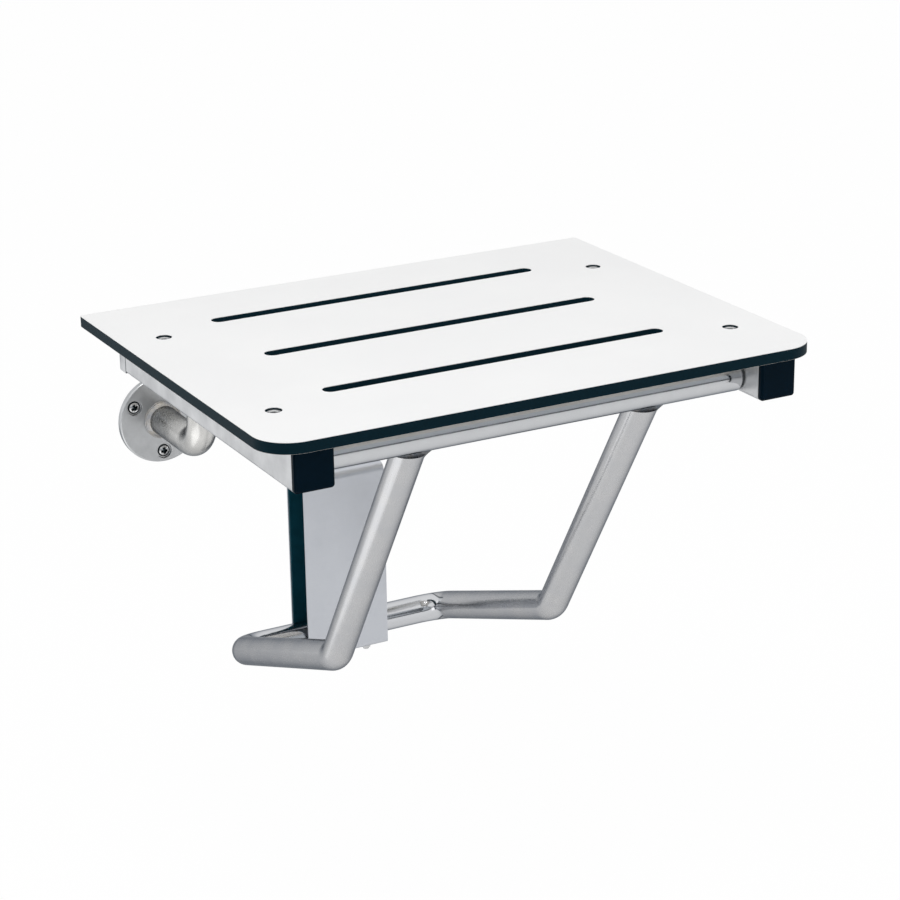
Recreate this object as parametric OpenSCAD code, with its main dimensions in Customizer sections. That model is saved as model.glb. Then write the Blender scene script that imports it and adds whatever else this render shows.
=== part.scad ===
// Fold down wall seat: a slotted compact laminate board on two square rails,
// hinged on two wall arms and propped by a bent tube whose bar slides in a wall guide.
// Frame: x runs along the wall, +y points to the wall, z points up.
// The origin is the middle of the guide's wall face, so the wall is the plane y = 0.

/* [Seat board] */
// Width of the board along the wall
board_w = 470; // [420:1:560]
// Depth of the board, front edge to rear edge
board_d = 370; // [350:1:380]
// Thickness of the board
board_t = 9; // [8:0.5:11]
// Radius of the two front corners
board_corner_r = 29; // [8:1:40]
// Radius of the two rear corners
board_rear_r = 2.5; // [1:0.5:10]
// Small chamfer along the top and bottom edges
board_edge_c = 0.6; // [0.3:0.1:1.5]
// Height of the board's top above the middle of the guide
seat_top = 266.8; // [255:0.2:275]
// Distance from the board's front edge to the wall
seat_reach = 408; // [404:1:420]
// Number of drain slots
slot_count = 3; // [1:1:4]
// Length of a drain slot, end to end
slot_len = 297; // [200:1:340]
// Width of a drain slot
slot_w = 13; // [8:0.5:16]
// Distance from the front edge to the middle of the front slot
slot_first = 94; // [80:1:110]
// Distance between slot middles
slot_pitch = 103; // [60:1:110]

/* [Board screws] */
// Distance from the front edge to the front screws
screw_front = 72; // [66:1:90]
// Distance from the front edge to the rear screws
screw_rear = 279; // [250:1:285]
// Thread diameter of a board screw
screw_d = 6; // [5:0.5:7]
// Diameter of a board screw's countersunk head
screw_head_d = 12.6; // [11:0.2:14]
// Length of a board screw under its head's top
screw_len = 18; // [16:1:22]
// Width across flats of the socket in a screw head
screw_socket = 4; // [3:0.5:5]
// Depth of the socket in a screw head
screw_socket_deep = 2.4; // [1.5:0.1:3]
// Height of the nut welded under a rail's top wall
nut_h = 5; // [4:0.5:7]
// Width across flats of that nut
nut_af = 10; // [9:0.5:13]

/* [Rails] */
// Distance from the board's side edge to a rail's middle
rail_inset = 36.5; // [33:0.5:40]
// Outside size of the square rail tube
rail_size = 31.75; // [30:0.25:36]
// Wall of the rail tube
rail_wall = 1.6; // [1.2:0.1:2.5]
// Outside corner radius of the rail tube
rail_r = 2.6; // [2:0.1:4]
// Distance from the board's front edge to a front cap's face
cap_setback = 5; // [2:1:12]
// Thickness of a front cap's head
cap_head = 5; // [3:0.5:8]
// Length of a front cap's plug inside the rail
cap_plug = 18; // [10:1:24]
// Wall of a front cap's hollow plug
cap_wall = 3; // [2:0.5:5]
// Distance from the board's front edge to the seam where a rail's rear end piece starts
rail_end_setback = 326; // [322:1:332]
// Straight length of that end piece, before it turns round
rail_end_straight = 9.6; // [4:0.2:12]

/* [Crossbar] */
// Outside diameter of the round tube of crossbar, legs and arms
tube_d = 25.4; // [24:0.2:27]
// Wall of the round tube
tube_wall = 1.6; // [1.2:0.1:2.5]
// Distance from the board's front edge to the crossbar's axis
bar_setback = 41; // [36:1:46]
// Diameter of the stub pins at the crossbar's ends
stub_d = 12; // [10:0.5:14]
// Length of a stub pin beyond the crossbar's end
stub_len = 12; // [8:1:16]
// Depth of an end plug inside the crossbar
bar_plug = 14; // [8:1:25]
// Wall of the nylon bush on a stub pin
stub_bush_wall = 1.5; // [1:0.1:2]
// Outside diameter of that bush's flange
stub_flange_d = 22; // [19:0.5:24]

/* [Leg frame] */
// Distance between the middles of the two legs
leg_spacing = 203; // [180:1:220]
// Distance from the board's front edge to the knee's corner
knee_setback = 185; // [170:1:195]
// Drop from the board's top to the knee's corner
knee_drop = 260.5; // [250:0.5:270]
// Bend radius of the knees, to the tube's axis
knee_r = 24; // [20:1:34]
// Bend radius of the rear corners, to the tube's axis
rear_r = 25; // [20:1:46]
// Gap between a leg's top and the crossbar that it turns under
pivot_gap = 0.3; // [0.2:0.1:0.6]
// How far a leg's weld plate reaches beyond the tube, along the crossbar
weld_reach = 9; // [4:0.5:12]
// Height of a leg's weld plate
weld_h = 7; // [4:0.5:9]
// Depth of a leg's weld plate at the tube, front to rear
weld_deep = 14; // [10:0.5:20]
// Depth of a leg's weld plate at its two tips
weld_tip = 4; // [2:0.5:8]
// How far a leg's weld plate reaches in front of the crossbar's axis
weld_front = 4; // [2:0.5:6]
// Thickness of the weld plate on top of a leg's cut end
weld_layer = 2.5; // [1:0.5:4]

/* [Hinges] */
// Distance from a rail's middle to the wall arm's middle
arm_inset = 43; // [39:0.5:48]
// Distance from the board's front edge to the hinge axis
hinge_setback = 313; // [310:0.5:318]
// Length of a hinge barrel
barrel_len = 38; // [36:0.5:39]
// Bore of a hinge barrel
barrel_bore = 16; // [15:0.5:17]
// Diameter of a hinge bolt's plain shank
bolt_d = 10; // [8:0.5:11]
// Gap between a hinge bolt and its bushes, on the radius
bolt_gap = 0.05; // [0.02:0.01:0.09]
// Thickness of a bush's flange
bush_flange = 1.2; // [0.8:0.1:1.4]
// Outside diameter of a bush's flange
bush_flange_d = 22; // [19:0.5:25]
// Length of a bush inside the barrel
bush_len = 14; // [8:1:16]
// Play along a hinge, at each face
hinge_play = 0.3; // [0.2:0.1:0.5]
// Diameter of a hinge bolt's round head
bolt_head_d = 18; // [16:0.5:21]
// Height of a hinge bolt's head
bolt_head_h = 6; // [5:0.5:8]
// Width across flats of the socket in a hinge bolt
bolt_socket = 6; // [5:0.5:8]
// Depth of that socket
bolt_socket_deep = 3.5; // [2:0.5:5]
// Thickness of the steel washer under a hinge bolt's head
washer_t = 1.6; // [1:0.2:2.5]
// Outside diameter of that washer
washer_d = 21; // [19:0.5:24]
// Outside diameter of the threaded boss inside a rail
boss_d = 16; // [14:0.5:18]
// Length of a hinge bolt's thread inside the boss
bolt_grip = 16; // [10:1:22]

/* [Wall arms] */
// Drop from the board's top to the flange's middle
flange_drop = 113; // [108:0.5:125]
// Diameter of a wall flange
flange_d = 76.2; // [70:0.2:84]
// Thickness of a wall flange
flange_t = 6; // [4:0.5:8]
// Chamfer of a wall flange's front rim
flange_c = 1; // [0.5:0.1:2]
// Bend radius of a wall arm, to the tube's axis
arm_r = 30; // [26:1:36]
// Width of the weld ring between arm and flange
arm_weld = 4; // [2:0.5:7]
// Number of screws in a wall flange
flange_screws = 3; // [3:1:5]
// Circle through the screws of a wall flange
flange_pcd = 57; // [54:0.5:60]
// Thread diameter of a flange screw
wall_screw_d = 6; // [5:0.5:7]
// Diameter of a flange screw's head
wall_head_d = 11; // [9:0.5:12]
// Height of a flange screw's domed head
wall_head_h = 3.2; // [2.5:0.1:4.5]
// Depth of the recess that the head sits in
wall_sink = 2; // [1:0.2:3]
// Gap round the head in that recess
wall_sink_gap = 1; // [0.4:0.1:1.5]
// Diameter of a flange screw's neck, between head and thread
wall_neck_d = 5.4; // [5:0.1:5.8]
// Length of a flange screw behind the wall plane
wall_screw_out = 16; // [12:1:60]
// Length of the thread's point
wall_screw_tip = 6; // [3:0.5:9]

/* [Wall guide] */
// Width of the guide
guide_w = 79.2; // [70:0.2:90]
// Height of the guide
guide_h = 173.6; // [168:0.2:185]
// Depth of the guide, wall to front face
guide_deep = 35; // [34:0.5:38]
// Sheet thickness of the guide's plates
sheet_t = 1.5; // [1.2:0.1:2]
// Outside radius of the bend at the guide's top
guide_top_r = 7; // [4:0.5:10]
// Outside radius of the bend at the guide's foot
guide_foot_r = 2.4; // [2:0.1:4]
// Thickness of the black liner
liner_t = 3; // [2:0.5:4]
// Sliding gap between the shoe and the guide, at each face
shoe_gap = 0.3; // [0.2:0.1:0.6]
// Length of the shoe along the bar
shoe_len = 40; // [30:1:60]
// Running gap between bar and shoe, on the radius
shoe_run = 0.06; // [0.03:0.01:0.09]
// Chamfer of the shoe's long edges
shoe_c = 2; // [1:0.5:4]
// Distance between the guide's wall screws, along the wall
guide_screw_x = 40; // [34:1:50]
// Distance between the guide's wall screws, up the wall
guide_screw_z = 110; // [90:1:140]
// Thread diameter of a guide wall screw
guide_screw_d = 5; // [4:0.5:6]
// Neck diameter of a guide wall screw
guide_neck_d = 4.4; // [4:0.1:4.8]
// Head diameter of a guide wall screw
guide_head_d = 9.6; // [8:0.2:11]
// Head height of a guide wall screw
guide_head_h = 2.6; // [2:0.1:2.9]
// Length of a guide wall screw behind the wall plane
guide_screw_out = 32; // [20:1:50]
// Distance between the two lock screws under the guide
lock_spacing = 44; // [36:1:56]
// Distance from the guide's front face to the lock screws
lock_setback = 10; // [8:0.5:14]
// Thread diameter of a lock screw
lock_d = 5; // [4:0.5:6]
// Head diameter of a lock screw
lock_head_d = 7.8; // [7:0.2:8]
// Height of a lock nut
lock_nut_h = 4; // [3:0.5:6]
// Width across flats of a lock nut
lock_nut_af = 8; // [7:0.5:10]
// Length of a lock screw below its nut
lock_tail = 2; // [1:0.5:6]

/* [Hidden] */

$fn = 64;
// Overrun of every cut
cut = 1;
// Gap round a part that slips into a hole or tube
slip = 0.15;
// Gap round a screw in a clearance hole
loose = 0.25;
// How far a board screw's head lies below the board's top
head_sink = 0.3;
// How much thicker a bend is than its straight runs, on the radius
bend_swell = 0.04;
// How far a straight run reaches into a bend
bend_lap = 0.5;

// Board and rails, measured from the wall
front_y = -seat_reach;
rail_top = seat_top - board_t;
rail_z = rail_top - rail_size / 2;
rail_spacing = board_w - 2 * rail_inset;
rail_inner = rail_spacing / 2 - rail_size / 2;
rail_front = front_y + cap_setback + cap_head;
rail_back = front_y + rail_end_setback;
rail_clear = rail_size - 2 * rail_wall;
screw_ys = [front_y + screw_front, front_y + screw_rear];

// Crossbar
tube_r = tube_d / 2;
tube_ir = tube_r - tube_wall;
bar_y = front_y + bar_setback;
bar_z = rail_top - rail_size + tube_r;
bar_end = rail_inner - bush_flange - slip;
stub_hole_r = stub_d / 2 + slip + stub_bush_wall;

// Hinge axis, and the stack along it from a rail's inner face
hinge_y = front_y + hinge_setback;
hinge_z = rail_z;
barrel_r = tube_r;
bush_wall = barrel_bore / 2 - bolt_d / 2 - bolt_gap;
barrel_out = rail_inner - hinge_play - bush_flange;
barrel_in = barrel_out - barrel_len;
washer_out = barrel_in - bush_flange - hinge_play;
head_out = washer_out - washer_t;
// The round rear end's plug reaches up to the hinge boss
end_plug = rail_back - hinge_y - boss_d / 2 - loose;

// Guide: channel between liner and front plate, and the bar in it
guide_half = guide_h / 2;
channel_back = sheet_t + liner_t;
channel_deep = guide_deep - sheet_t - channel_back;
slide_y = -channel_back - channel_deep / 2;
shoe_size = channel_deep - 2 * shoe_gap;
slide_z = -guide_half + 2 * sheet_t + shoe_gap + shoe_size / 2;
lock_y = -guide_deep + lock_setback;
foot_front = -guide_deep + guide_foot_r + slip;

// Leg frame: middle line, knee and the level cut under the crossbar
leg_x = leg_spacing / 2;
knee_y = front_y + knee_setback;
knee_z = seat_top - knee_drop;

leg_top_z = bar_z - tube_r - pivot_gap;
leg_cut_z = leg_top_z - weld_layer;

// Width across flats of a socket, as a share of its screw's thread diameter
socket_share = 0.67;
// Length and width of a cross recess's arms, as shares of the head's diameter
cross_len_share = 0.56;
cross_wide_share = 0.14;
// Diameter of a wood screw's blunt point, as a share of its thread diameter
point_share = 0.25;
// How far the thin edge of a wall arm's weld stands off, as a share of the weld
weld_edge_share = 0.12;

// Wall arms
arm_x = rail_spacing / 2 - arm_inset;
flange_z = seat_top - flange_drop;
screw_step = 360 / flange_screws;

function unit(v) = v / norm(v);
function turn_xyz(v) = [0, acos(v[2] / norm(v)), atan2(v[1], v[0])];
function turn_angle(a, b) = acos(a * b);
function tangent_len(a, b, r) = r * tan(turn_angle(a, b) / 2);

// A round rod from point a to point b, longer by lap at each end
module rod(a, b, r, lap) {
    translate(a)
        rotate(turn_xyz(b - a))
            translate([0, 0, -lap])
                cylinder(h = norm(b - a) + 2 * lap, r = r);
}

// A bend at a corner, arriving along u and leaving along v
module elbow(corner, u, v, bend_r, r) {
    side = unit(v - (v * u) * u);
    middle = corner - tangent_len(u, v, bend_r) * u + bend_r * side;
    axis = cross(u, side);
    multmatrix([
        [-side[0], u[0], axis[0], middle[0]],
        [-side[1], u[1], axis[1], middle[1]],
        [-side[2], u[2], axis[2], middle[2]],
        [0, 0, 0, 1]])
        rotate_extrude(angle = turn_angle(u, v))
            translate([bend_r, 0])
                circle(r = r);
}

// A bent rod through corner points, with a bend radius for each inner corner.
// The bends are a hair thicker than the straight runs, which reach into them.
module bent_rod(points, bends, r, lap) {
    last = len(points) - 1;
    dirs = [for (i = [0:last - 1]) unit(points[i + 1] - points[i])];
    trims = [for (i = [0:last])
        i == 0 || i == last ? 0 : tangent_len(dirs[i - 1], dirs[i], bends[i - 1])];
    for (i = [0:last - 1])
        rod(points[i] + trims[i] * dirs[i], points[i + 1] - trims[i + 1] * dirs[i], r, lap);
    for (i = [1:last - 1])
        elbow(points[i], dirs[i - 1], dirs[i], bends[i - 1], r + bend_swell);
}

// A bent tube: the rod less a thinner rod that runs on past its ends
module bent_tube(points, bends) {
    difference() {
        bent_rod(points, bends, tube_r, bend_lap);
        bent_rod(points, bends, tube_ir, 2 * bend_lap);
    }
}

// The left piece is the right one mirrored in the middle plane
module left() {
    mirror([1, 0, 0])
        children();
}

// A rod lying along x
module rod_x(x0, x1, y, z, r) {
    translate([x0, y, z])
        rotate([0, 90, 0])
            cylinder(h = x1 - x0, r = r);
}

// A hexagonal bar standing on z = 0, measured across its flats
module hex_bar(af, h) {
    cylinder(h = h, r = af / 2 / cos(30), $fn = 6);
}

// A square with round corners
module round_square(w, d, r) {
    square([w, d - 2 * r], center = true);
    square([w - 2 * r, d], center = true);
    for (sx = [-1, 1], sy = [-1, 1])
        translate([sx * (w / 2 - r), sy * (d / 2 - r)])
            circle(r = r);
}

// The board's outline: front edge on y = 0, large front corners, small rear corners
module board_outline(inset) {
    w = board_w / 2 - inset;
    d = board_d - 2 * inset;
    fr = board_corner_r - inset;
    rr = board_rear_r - inset;
    translate([0, inset]) {
        translate([-w, fr])
            square([2 * w, d - fr - rr]);
        translate([-w + fr, 0])
            square([2 * (w - fr), fr]);
        translate([-w + rr, d - rr])
            square([2 * (w - rr), rr]);
        for (s = [-1, 1]) {
            translate([s * (w - fr), fr])
                circle(r = fr);
            translate([s * (w - rr), d - rr])
                circle(r = rr);
        }
    }
}

// One drain slot, cut through the board
module slot_cut(y) {
    half = slot_len / 2 - slot_w / 2;
    translate([-half, y - slot_w / 2, -board_t - cut])
        cube([2 * half, slot_w, board_t + 2 * cut]);
    for (s = [-1, 1])
        translate([s * half, y, -board_t - cut])
            cylinder(h = board_t + 2 * cut, r = slot_w / 2);
}

// A countersunk screw pointing down, with the top of its head on z = 0
module flat_head_screw(d, head_d, length, socket, socket_deep) {
    cone = (head_d - d) / 2;
    difference() {
        union() {
            translate([0, 0, -cone])
                cylinder(h = cone, r1 = d / 2, r2 = head_d / 2);
            translate([0, 0, -length])
                cylinder(h = length - cone, r = d / 2);
        }
        translate([0, 0, -socket_deep])
            hex_bar(socket, socket_deep + cut);
    }
}

// The hole for such a screw, with its head lying sink below z = 0
module flat_head_hole(d, head_d, sink, deep) {
    cone = (head_d - d) / 2;
    translate([0, 0, -sink - cone])
        cylinder(h = cone, r1 = d / 2 + loose, r2 = head_d / 2 + loose);
    translate([0, 0, -sink])
        cylinder(h = sink + cut, r = head_d / 2 + loose);
    translate([0, 0, -deep])
        cylinder(h = deep - sink, r = d / 2 + loose);
}

module each_board_screw() {
    for (sx = [-1, 1], y = screw_ys)
        translate([sx * rail_spacing / 2, y, seat_top])
            children();
}

module seat_board() color("whitesmoke") {
    difference() {
        translate([0, front_y, rail_top]) {
            translate([0, 0, board_edge_c])
                linear_extrude(board_t - 2 * board_edge_c)
                    board_outline(0);
            linear_extrude(board_t)
                board_outline(board_edge_c);
        }
        for (i = [0:slot_count - 1])
            translate([0, front_y, seat_top])
                slot_cut(slot_first + i * slot_pitch);
        each_board_screw()
            flat_head_hole(screw_d, screw_head_d, head_sink, board_t + cut);
    }
}

module seat_screws() color("silver") {
    each_board_screw()
        translate([0, 0, -head_sink])
            flat_head_screw(screw_d, screw_head_d, screw_len, screw_socket, screw_socket_deep);
}

module seat_nuts() color("lightgray") {
    each_board_screw()
        translate([0, 0, -board_t - rail_wall - nut_h])
            difference() {
                hex_bar(nut_af, nut_h);
                translate([0, 0, -cut])
                    cylinder(h = nut_h + 2 * cut, r = screw_d / 2);
            }
}

module rail_right() color("silver") {
    difference() {
        translate([rail_spacing / 2, rail_back, rail_z])
            rotate([90, 0, 0])
                linear_extrude(rail_back - rail_front)
                    difference() {
                        round_square(rail_size, rail_size, rail_r);
                        round_square(rail_clear, rail_clear, rail_r - rail_wall);
                    }
        for (y = screw_ys)
            translate([rail_spacing / 2, y, rail_top - rail_wall - cut])
                cylinder(h = rail_wall + 2 * cut, r = screw_d / 2 + loose);
        rod_x(rail_inner - cut, rail_inner + rail_wall + cut, bar_y, bar_z, stub_hole_r);
        rod_x(rail_inner - cut, rail_inner + rail_wall + cut, hinge_y, hinge_z, bolt_d / 2 + loose);
    }
}

module rail_left() left() rail_right();

// A front cap: rounded head outside, hollow plug inside the rail
module front_cap_right() color([0.02, 0.06, 0.1]) {
    plug = rail_clear - 2 * slip;
    hollow = plug - 2 * cap_wall;
    edge = rail_r;
    translate([rail_spacing / 2, 0, rail_z])
        rotate([90, 0, 0])
            difference() {
                union() {
                    translate([0, 0, -rail_front])
                        linear_extrude(cap_head - edge / 2)
                            round_square(rail_size, rail_size, rail_r);
                    translate([0, 0, -rail_front])
                        linear_extrude(cap_head)
                            round_square(rail_size - edge, rail_size - edge, rail_r / 2);
                    translate([0, 0, -rail_front - cap_plug])
                        linear_extrude(cap_plug + edge / 2)
                            round_square(plug, plug, (rail_r - rail_wall) / 2);
                }
                translate([0, 0, -rail_front - cap_plug - cut])
                    linear_extrude(cap_plug + cut)
                        square(hollow, center = true);
            }
}

module front_cap_left() left() front_cap_right();

// A rail's rear end: a straight part, then half round, with a plug that sits in the tube
module rail_end_right() color("silver") {
    plug = rail_clear - 2 * slip;
    translate([rail_spacing / 2, rail_back, rail_z]) {
        translate([-rail_size / 2, 0, -rail_size / 2])
            cube([rail_size, rail_end_straight, rail_size]);
        translate([0, rail_end_straight, -rail_size / 2])
            intersection() {
                cylinder(h = rail_size, r = rail_size / 2);
                translate([-rail_size / 2, 0, 0])
                    cube([rail_size, rail_size, rail_size]);
            }
        rotate([90, 0, 0])
            linear_extrude(end_plug)
                round_square(plug, plug, rail_r - rail_wall);
    }
}

module rail_end_left() left() rail_end_right();

module crossbar() color("lightgray") {
    difference() {
        rod_x(-bar_end, bar_end, bar_y, bar_z, tube_r);
        rod_x(-bar_end - cut, bar_end + cut, bar_y, bar_z, tube_ir);
    }
}

// An end plug in the crossbar, with the stub pin that turns in the rail
module crossbar_plug_right() color("gray") {
    rod_x(bar_end - bar_plug, bar_end, bar_y, bar_z, tube_ir);
    rod_x(bar_end - cut, bar_end + stub_len, bar_y, bar_z, stub_d / 2);
}

module crossbar_plug_left() left() crossbar_plug_right();

// The nylon bush between stub pin and rail, its flange against the crossbar's end
module stub_bush_right() color("ivory") {
    difference() {
        union() {
            rod_x(rail_inner - bush_flange, rail_inner, bar_y, bar_z, stub_flange_d / 2);
            rod_x(rail_inner - slip, rail_inner + rail_wall + stub_bush_wall, bar_y, bar_z,
                stub_hole_r);
        }
        rod_x(bar_end - cut, bar_end + stub_len + cut, bar_y, bar_z, stub_d / 2 + slip / 2);
    }
}

module stub_bush_left() left() stub_bush_right();

// The threaded boss that spans the rail's inside at the hinge
module hinge_boss_right() color("gray") {
    difference() {
        rod_x(rail_inner + rail_wall, rail_inner + rail_size - rail_wall, hinge_y, hinge_z, boss_d / 2);
        rod_x(rail_inner, rail_inner + rail_wall + bolt_grip, hinge_y, hinge_z, bolt_d / 2);
    }
}

module hinge_boss_left() left() hinge_boss_right();

// The hinge bolt, from its head inboard to its thread in the boss
module hinge_bolt_right() color("lightgray") {
    difference() {
        union() {
            rod_x(head_out, rail_inner + rail_wall + bolt_grip, hinge_y, hinge_z, bolt_d / 2);
            rod_x(head_out - bolt_head_h, head_out, hinge_y, hinge_z, bolt_head_d / 2);
        }
        translate([head_out - bolt_head_h - cut, hinge_y, hinge_z])
            rotate([0, 90, 0])
                hex_bar(bolt_socket, bolt_socket_deep + cut);
    }
}

module hinge_bolt_left() left() hinge_bolt_right();

module hinge_washer_right() color("silver") {
    difference() {
        rod_x(head_out, washer_out, hinge_y, hinge_z, washer_d / 2);
        rod_x(head_out - cut, washer_out + cut, hinge_y, hinge_z, bolt_d / 2);
    }
}

module hinge_washer_left() left() hinge_washer_right();

module hinge_barrel_right() color("lightgray") {
    difference() {
        rod_x(barrel_in, barrel_out, hinge_y, hinge_z, barrel_r);
        rod_x(barrel_in - cut, barrel_out + cut, hinge_y, hinge_z, barrel_bore / 2);
    }
}

module hinge_barrel_left() left() hinge_barrel_right();

// Two flanged bushes, one in each end of the barrel
module hinge_bushes_right() color("ivory") {
    difference() {
        union() {
            rod_x(barrel_out - bush_len, barrel_out, hinge_y, hinge_z, bolt_d / 2 + bolt_gap + bush_wall);
            rod_x(barrel_out, barrel_out + bush_flange, hinge_y, hinge_z, bush_flange_d / 2);
        }
        rod_x(barrel_in - bush_flange - cut, barrel_out + bush_flange + cut, hinge_y, hinge_z,
            bolt_d / 2 + bolt_gap);
    }
    difference() {
        union() {
            rod_x(barrel_in, barrel_in + bush_len, hinge_y, hinge_z, bolt_d / 2 + bolt_gap + bush_wall);
            rod_x(barrel_in - bush_flange, barrel_in, hinge_y, hinge_z, bush_flange_d / 2);
        }
        rod_x(barrel_in - bush_flange - cut, barrel_out + bush_flange + cut, hinge_y, hinge_z,
            bolt_d / 2 + bolt_gap);
    }
}

module hinge_bushes_left() left() hinge_bushes_right();

// A wall arm: straight out of the flange, then up to the hinge barrel
module wall_arm_right() color("lightgray") {
    base = [arm_x, -flange_t - bend_lap, flange_z];
    corner = [arm_x, hinge_y, flange_z];
    top = [arm_x, hinge_y, hinge_z - 2 * bend_lap];
    difference() {
        bent_tube([base, corner, top], [arm_r]);
        rod_x(barrel_in - cut, barrel_out + cut, hinge_y, hinge_z, barrel_r);
    }
}

module wall_arm_left() left() wall_arm_right();

module arm_weld_right() color("gray") {
    difference() {
        translate([arm_x, -flange_t, flange_z])
            rotate([90, 0, 0])
                cylinder(h = arm_weld, r1 = tube_r + arm_weld, r2 = tube_r + arm_weld * weld_edge_share);
        rod([arm_x, 0, flange_z], [arm_x, -flange_t - arm_weld, flange_z], tube_r, cut);
    }
}

module arm_weld_left() left() arm_weld_right();

module each_flange_screw() {
    for (i = [0:flange_screws - 1])
        translate([arm_x, 0, flange_z])
            rotate([90, 90 + i * screw_step, 0])
                translate([flange_pcd / 2, 0, 0])
                    children();
}

module wall_flange_right() color("silver") {
    difference() {
        translate([arm_x, 0, flange_z])
            rotate([90, 0, 0]) {
                cylinder(h = flange_t - flange_c, r = flange_d / 2);
                translate([0, 0, flange_t - flange_c])
                    cylinder(h = flange_c, r1 = flange_d / 2, r2 = flange_d / 2 - flange_c);
            }
        each_flange_screw() {
            translate([0, 0, -cut])
                cylinder(h = flange_t + 2 * cut, r = wall_screw_d / 2 + loose);
            translate([0, 0, flange_t - wall_sink])
                cylinder(h = wall_sink + cut, r = wall_head_d / 2 + wall_sink_gap);
        }
    }
}

module wall_flange_left() left() wall_flange_right();

// A domed cross-recessed wood screw along +z, with its head's underside on z = 0:
// a plain neck of length neck under the head, then length of thread that ends in a point
module wood_screw(d, neck_d, head_d, head_h, neck, length) {
    ball = (head_d * head_d / 4 + head_h * head_h) / (2 * head_h);
    arm = head_d * cross_len_share;
    slit = head_d * cross_wide_share;
    difference() {
        intersection() {
            cylinder(h = head_h + cut, r = head_d / 2);
            translate([0, 0, head_h - ball])
                sphere(r = ball);
        }
        for (turn = [0, 90])
            rotate(turn)
                translate([-arm / 2, -slit / 2, head_h / 2])
                    cube([arm, slit, head_h]);
    }
    translate([0, 0, -neck])
        cylinder(h = neck, r = neck_d / 2);
    translate([0, 0, -neck - length + wall_screw_tip])
        cylinder(h = length - wall_screw_tip, r = d / 2);
    translate([0, 0, -neck - length])
        cylinder(h = wall_screw_tip, r1 = d * point_share / 2, r2 = d / 2);
}

module flange_screws_right() color("lightgray") {
    each_flange_screw()
        translate([0, 0, flange_t - wall_sink])
            wood_screw(wall_screw_d, wall_neck_d, wall_head_d, wall_head_h, flange_t - wall_sink,
                wall_screw_out);
}

module flange_screws_left() left() flange_screws_right();

// A sheet bend: a quarter of a pipe along x, from facing -y to facing up or down
module sheet_bend(y, z, r, up) {
    difference() {
        intersection() {
            rod_x(-guide_w / 2, guide_w / 2, y, z, r);
            translate([-guide_w / 2, y - r, up ? z : z - r])
                cube([guide_w, r, r]);
        }
        rod_x(-guide_w / 2 - cut, guide_w / 2 + cut, y, z, r - sheet_t);
    }
}

module each_lock_screw() {
    for (s = [-1, 1])
        translate([s * lock_spacing / 2, lock_y, -guide_half + 2 * sheet_t])
            children();
}

module guide_front_plate() color("silver") {
    top_y = -guide_deep + guide_top_r;
    foot_y = -guide_deep + guide_foot_r;
    difference() {
        union() {
            translate([-guide_w / 2, -guide_deep, -guide_half + guide_foot_r])
                cube([guide_w, sheet_t, guide_h - guide_foot_r - guide_top_r]);
            translate([-guide_w / 2, top_y, guide_half - sheet_t])
                cube([guide_w, -sheet_t - top_y, sheet_t]);
            translate([-guide_w / 2, foot_y, -guide_half])
                cube([guide_w, -sheet_t - foot_y, sheet_t]);
            sheet_bend(top_y, guide_half - guide_top_r, guide_top_r, true);
            sheet_bend(foot_y, -guide_half + guide_foot_r, guide_foot_r, false);
        }
        each_lock_screw()
            translate([0, 0, -2 * sheet_t - cut])
                cylinder(h = 2 * sheet_t + 2 * cut, r = lock_d / 2 + slip);
    }
}

module each_guide_screw() {
    for (sx = [-1, 1], sz = [-1, 1])
        translate([sx * guide_screw_x / 2, 0, sz * guide_screw_z / 2])
            rotate([90, 0, 0])
                children();
}

// The back plate, with a foot that the front plate's foot is screwed under
module guide_back_plate() color("darkgray") {
    difference() {
        union() {
            translate([-guide_w / 2, -sheet_t, -guide_half])
                cube([guide_w, sheet_t, guide_h]);
            translate([-guide_w / 2, foot_front, -guide_half + sheet_t])
                cube([guide_w, -foot_front, sheet_t]);
        }
        each_guide_screw()
            translate([0, 0, -cut])
                cylinder(h = sheet_t + 2 * cut, r = guide_screw_d / 2 + loose);
        each_lock_screw()
            flat_head_hole(lock_d, lock_head_d, 0, 2 * sheet_t + cut);
    }
}

module guide_liner() color([0.08, 0.1, 0.12]) {
    difference() {
        translate([-guide_w / 2, -channel_back, -guide_half + 2 * sheet_t])
            cube([guide_w, liner_t, guide_h - 3 * sheet_t]);
        each_guide_screw()
            translate([0, 0, sheet_t - cut])
                cylinder(h = liner_t + 2 * cut, r = guide_head_d / 2 + loose);
    }
}

module guide_wall_screws() color("lightgray") {
    each_guide_screw()
        translate([0, 0, sheet_t])
            wood_screw(guide_screw_d, guide_neck_d, guide_head_d, guide_head_h, sheet_t,
                guide_screw_out);
}

module guide_lock_screws() color("lightgray") {
    each_lock_screw()
        flat_head_screw(lock_d, lock_head_d, 2 * sheet_t + lock_nut_h + lock_tail,
            lock_d * socket_share, sheet_t);
}

module guide_lock_nuts() color("lightgray") {
    each_lock_screw()
        translate([0, 0, -2 * sheet_t - lock_nut_h])
            difference() {
                hex_bar(lock_nut_af, lock_nut_h);
                translate([0, 0, -cut])
                    cylinder(h = lock_nut_h + 2 * cut, r = lock_d / 2);
            }
}

// The nylon shoe that carries the bar up and down the guide
module guide_shoe() color([0.15, 0.16, 0.17]) {
    half = shoe_size / 2;
    difference() {
        translate([-shoe_len / 2, slide_y, slide_z])
            rotate([90, 0, 90])
                linear_extrude(shoe_len)
                    polygon([[-half + shoe_c, -half], [half - shoe_c, -half], [half, -half + shoe_c],
                        [half, half - shoe_c], [half - shoe_c, half], [-half + shoe_c, half],
                        [-half, half - shoe_c], [-half, -half + shoe_c]]);
        rod_x(-shoe_len / 2 - cut, shoe_len / 2 + cut, slide_y, slide_z, tube_r + shoe_run);
    }
}

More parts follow.
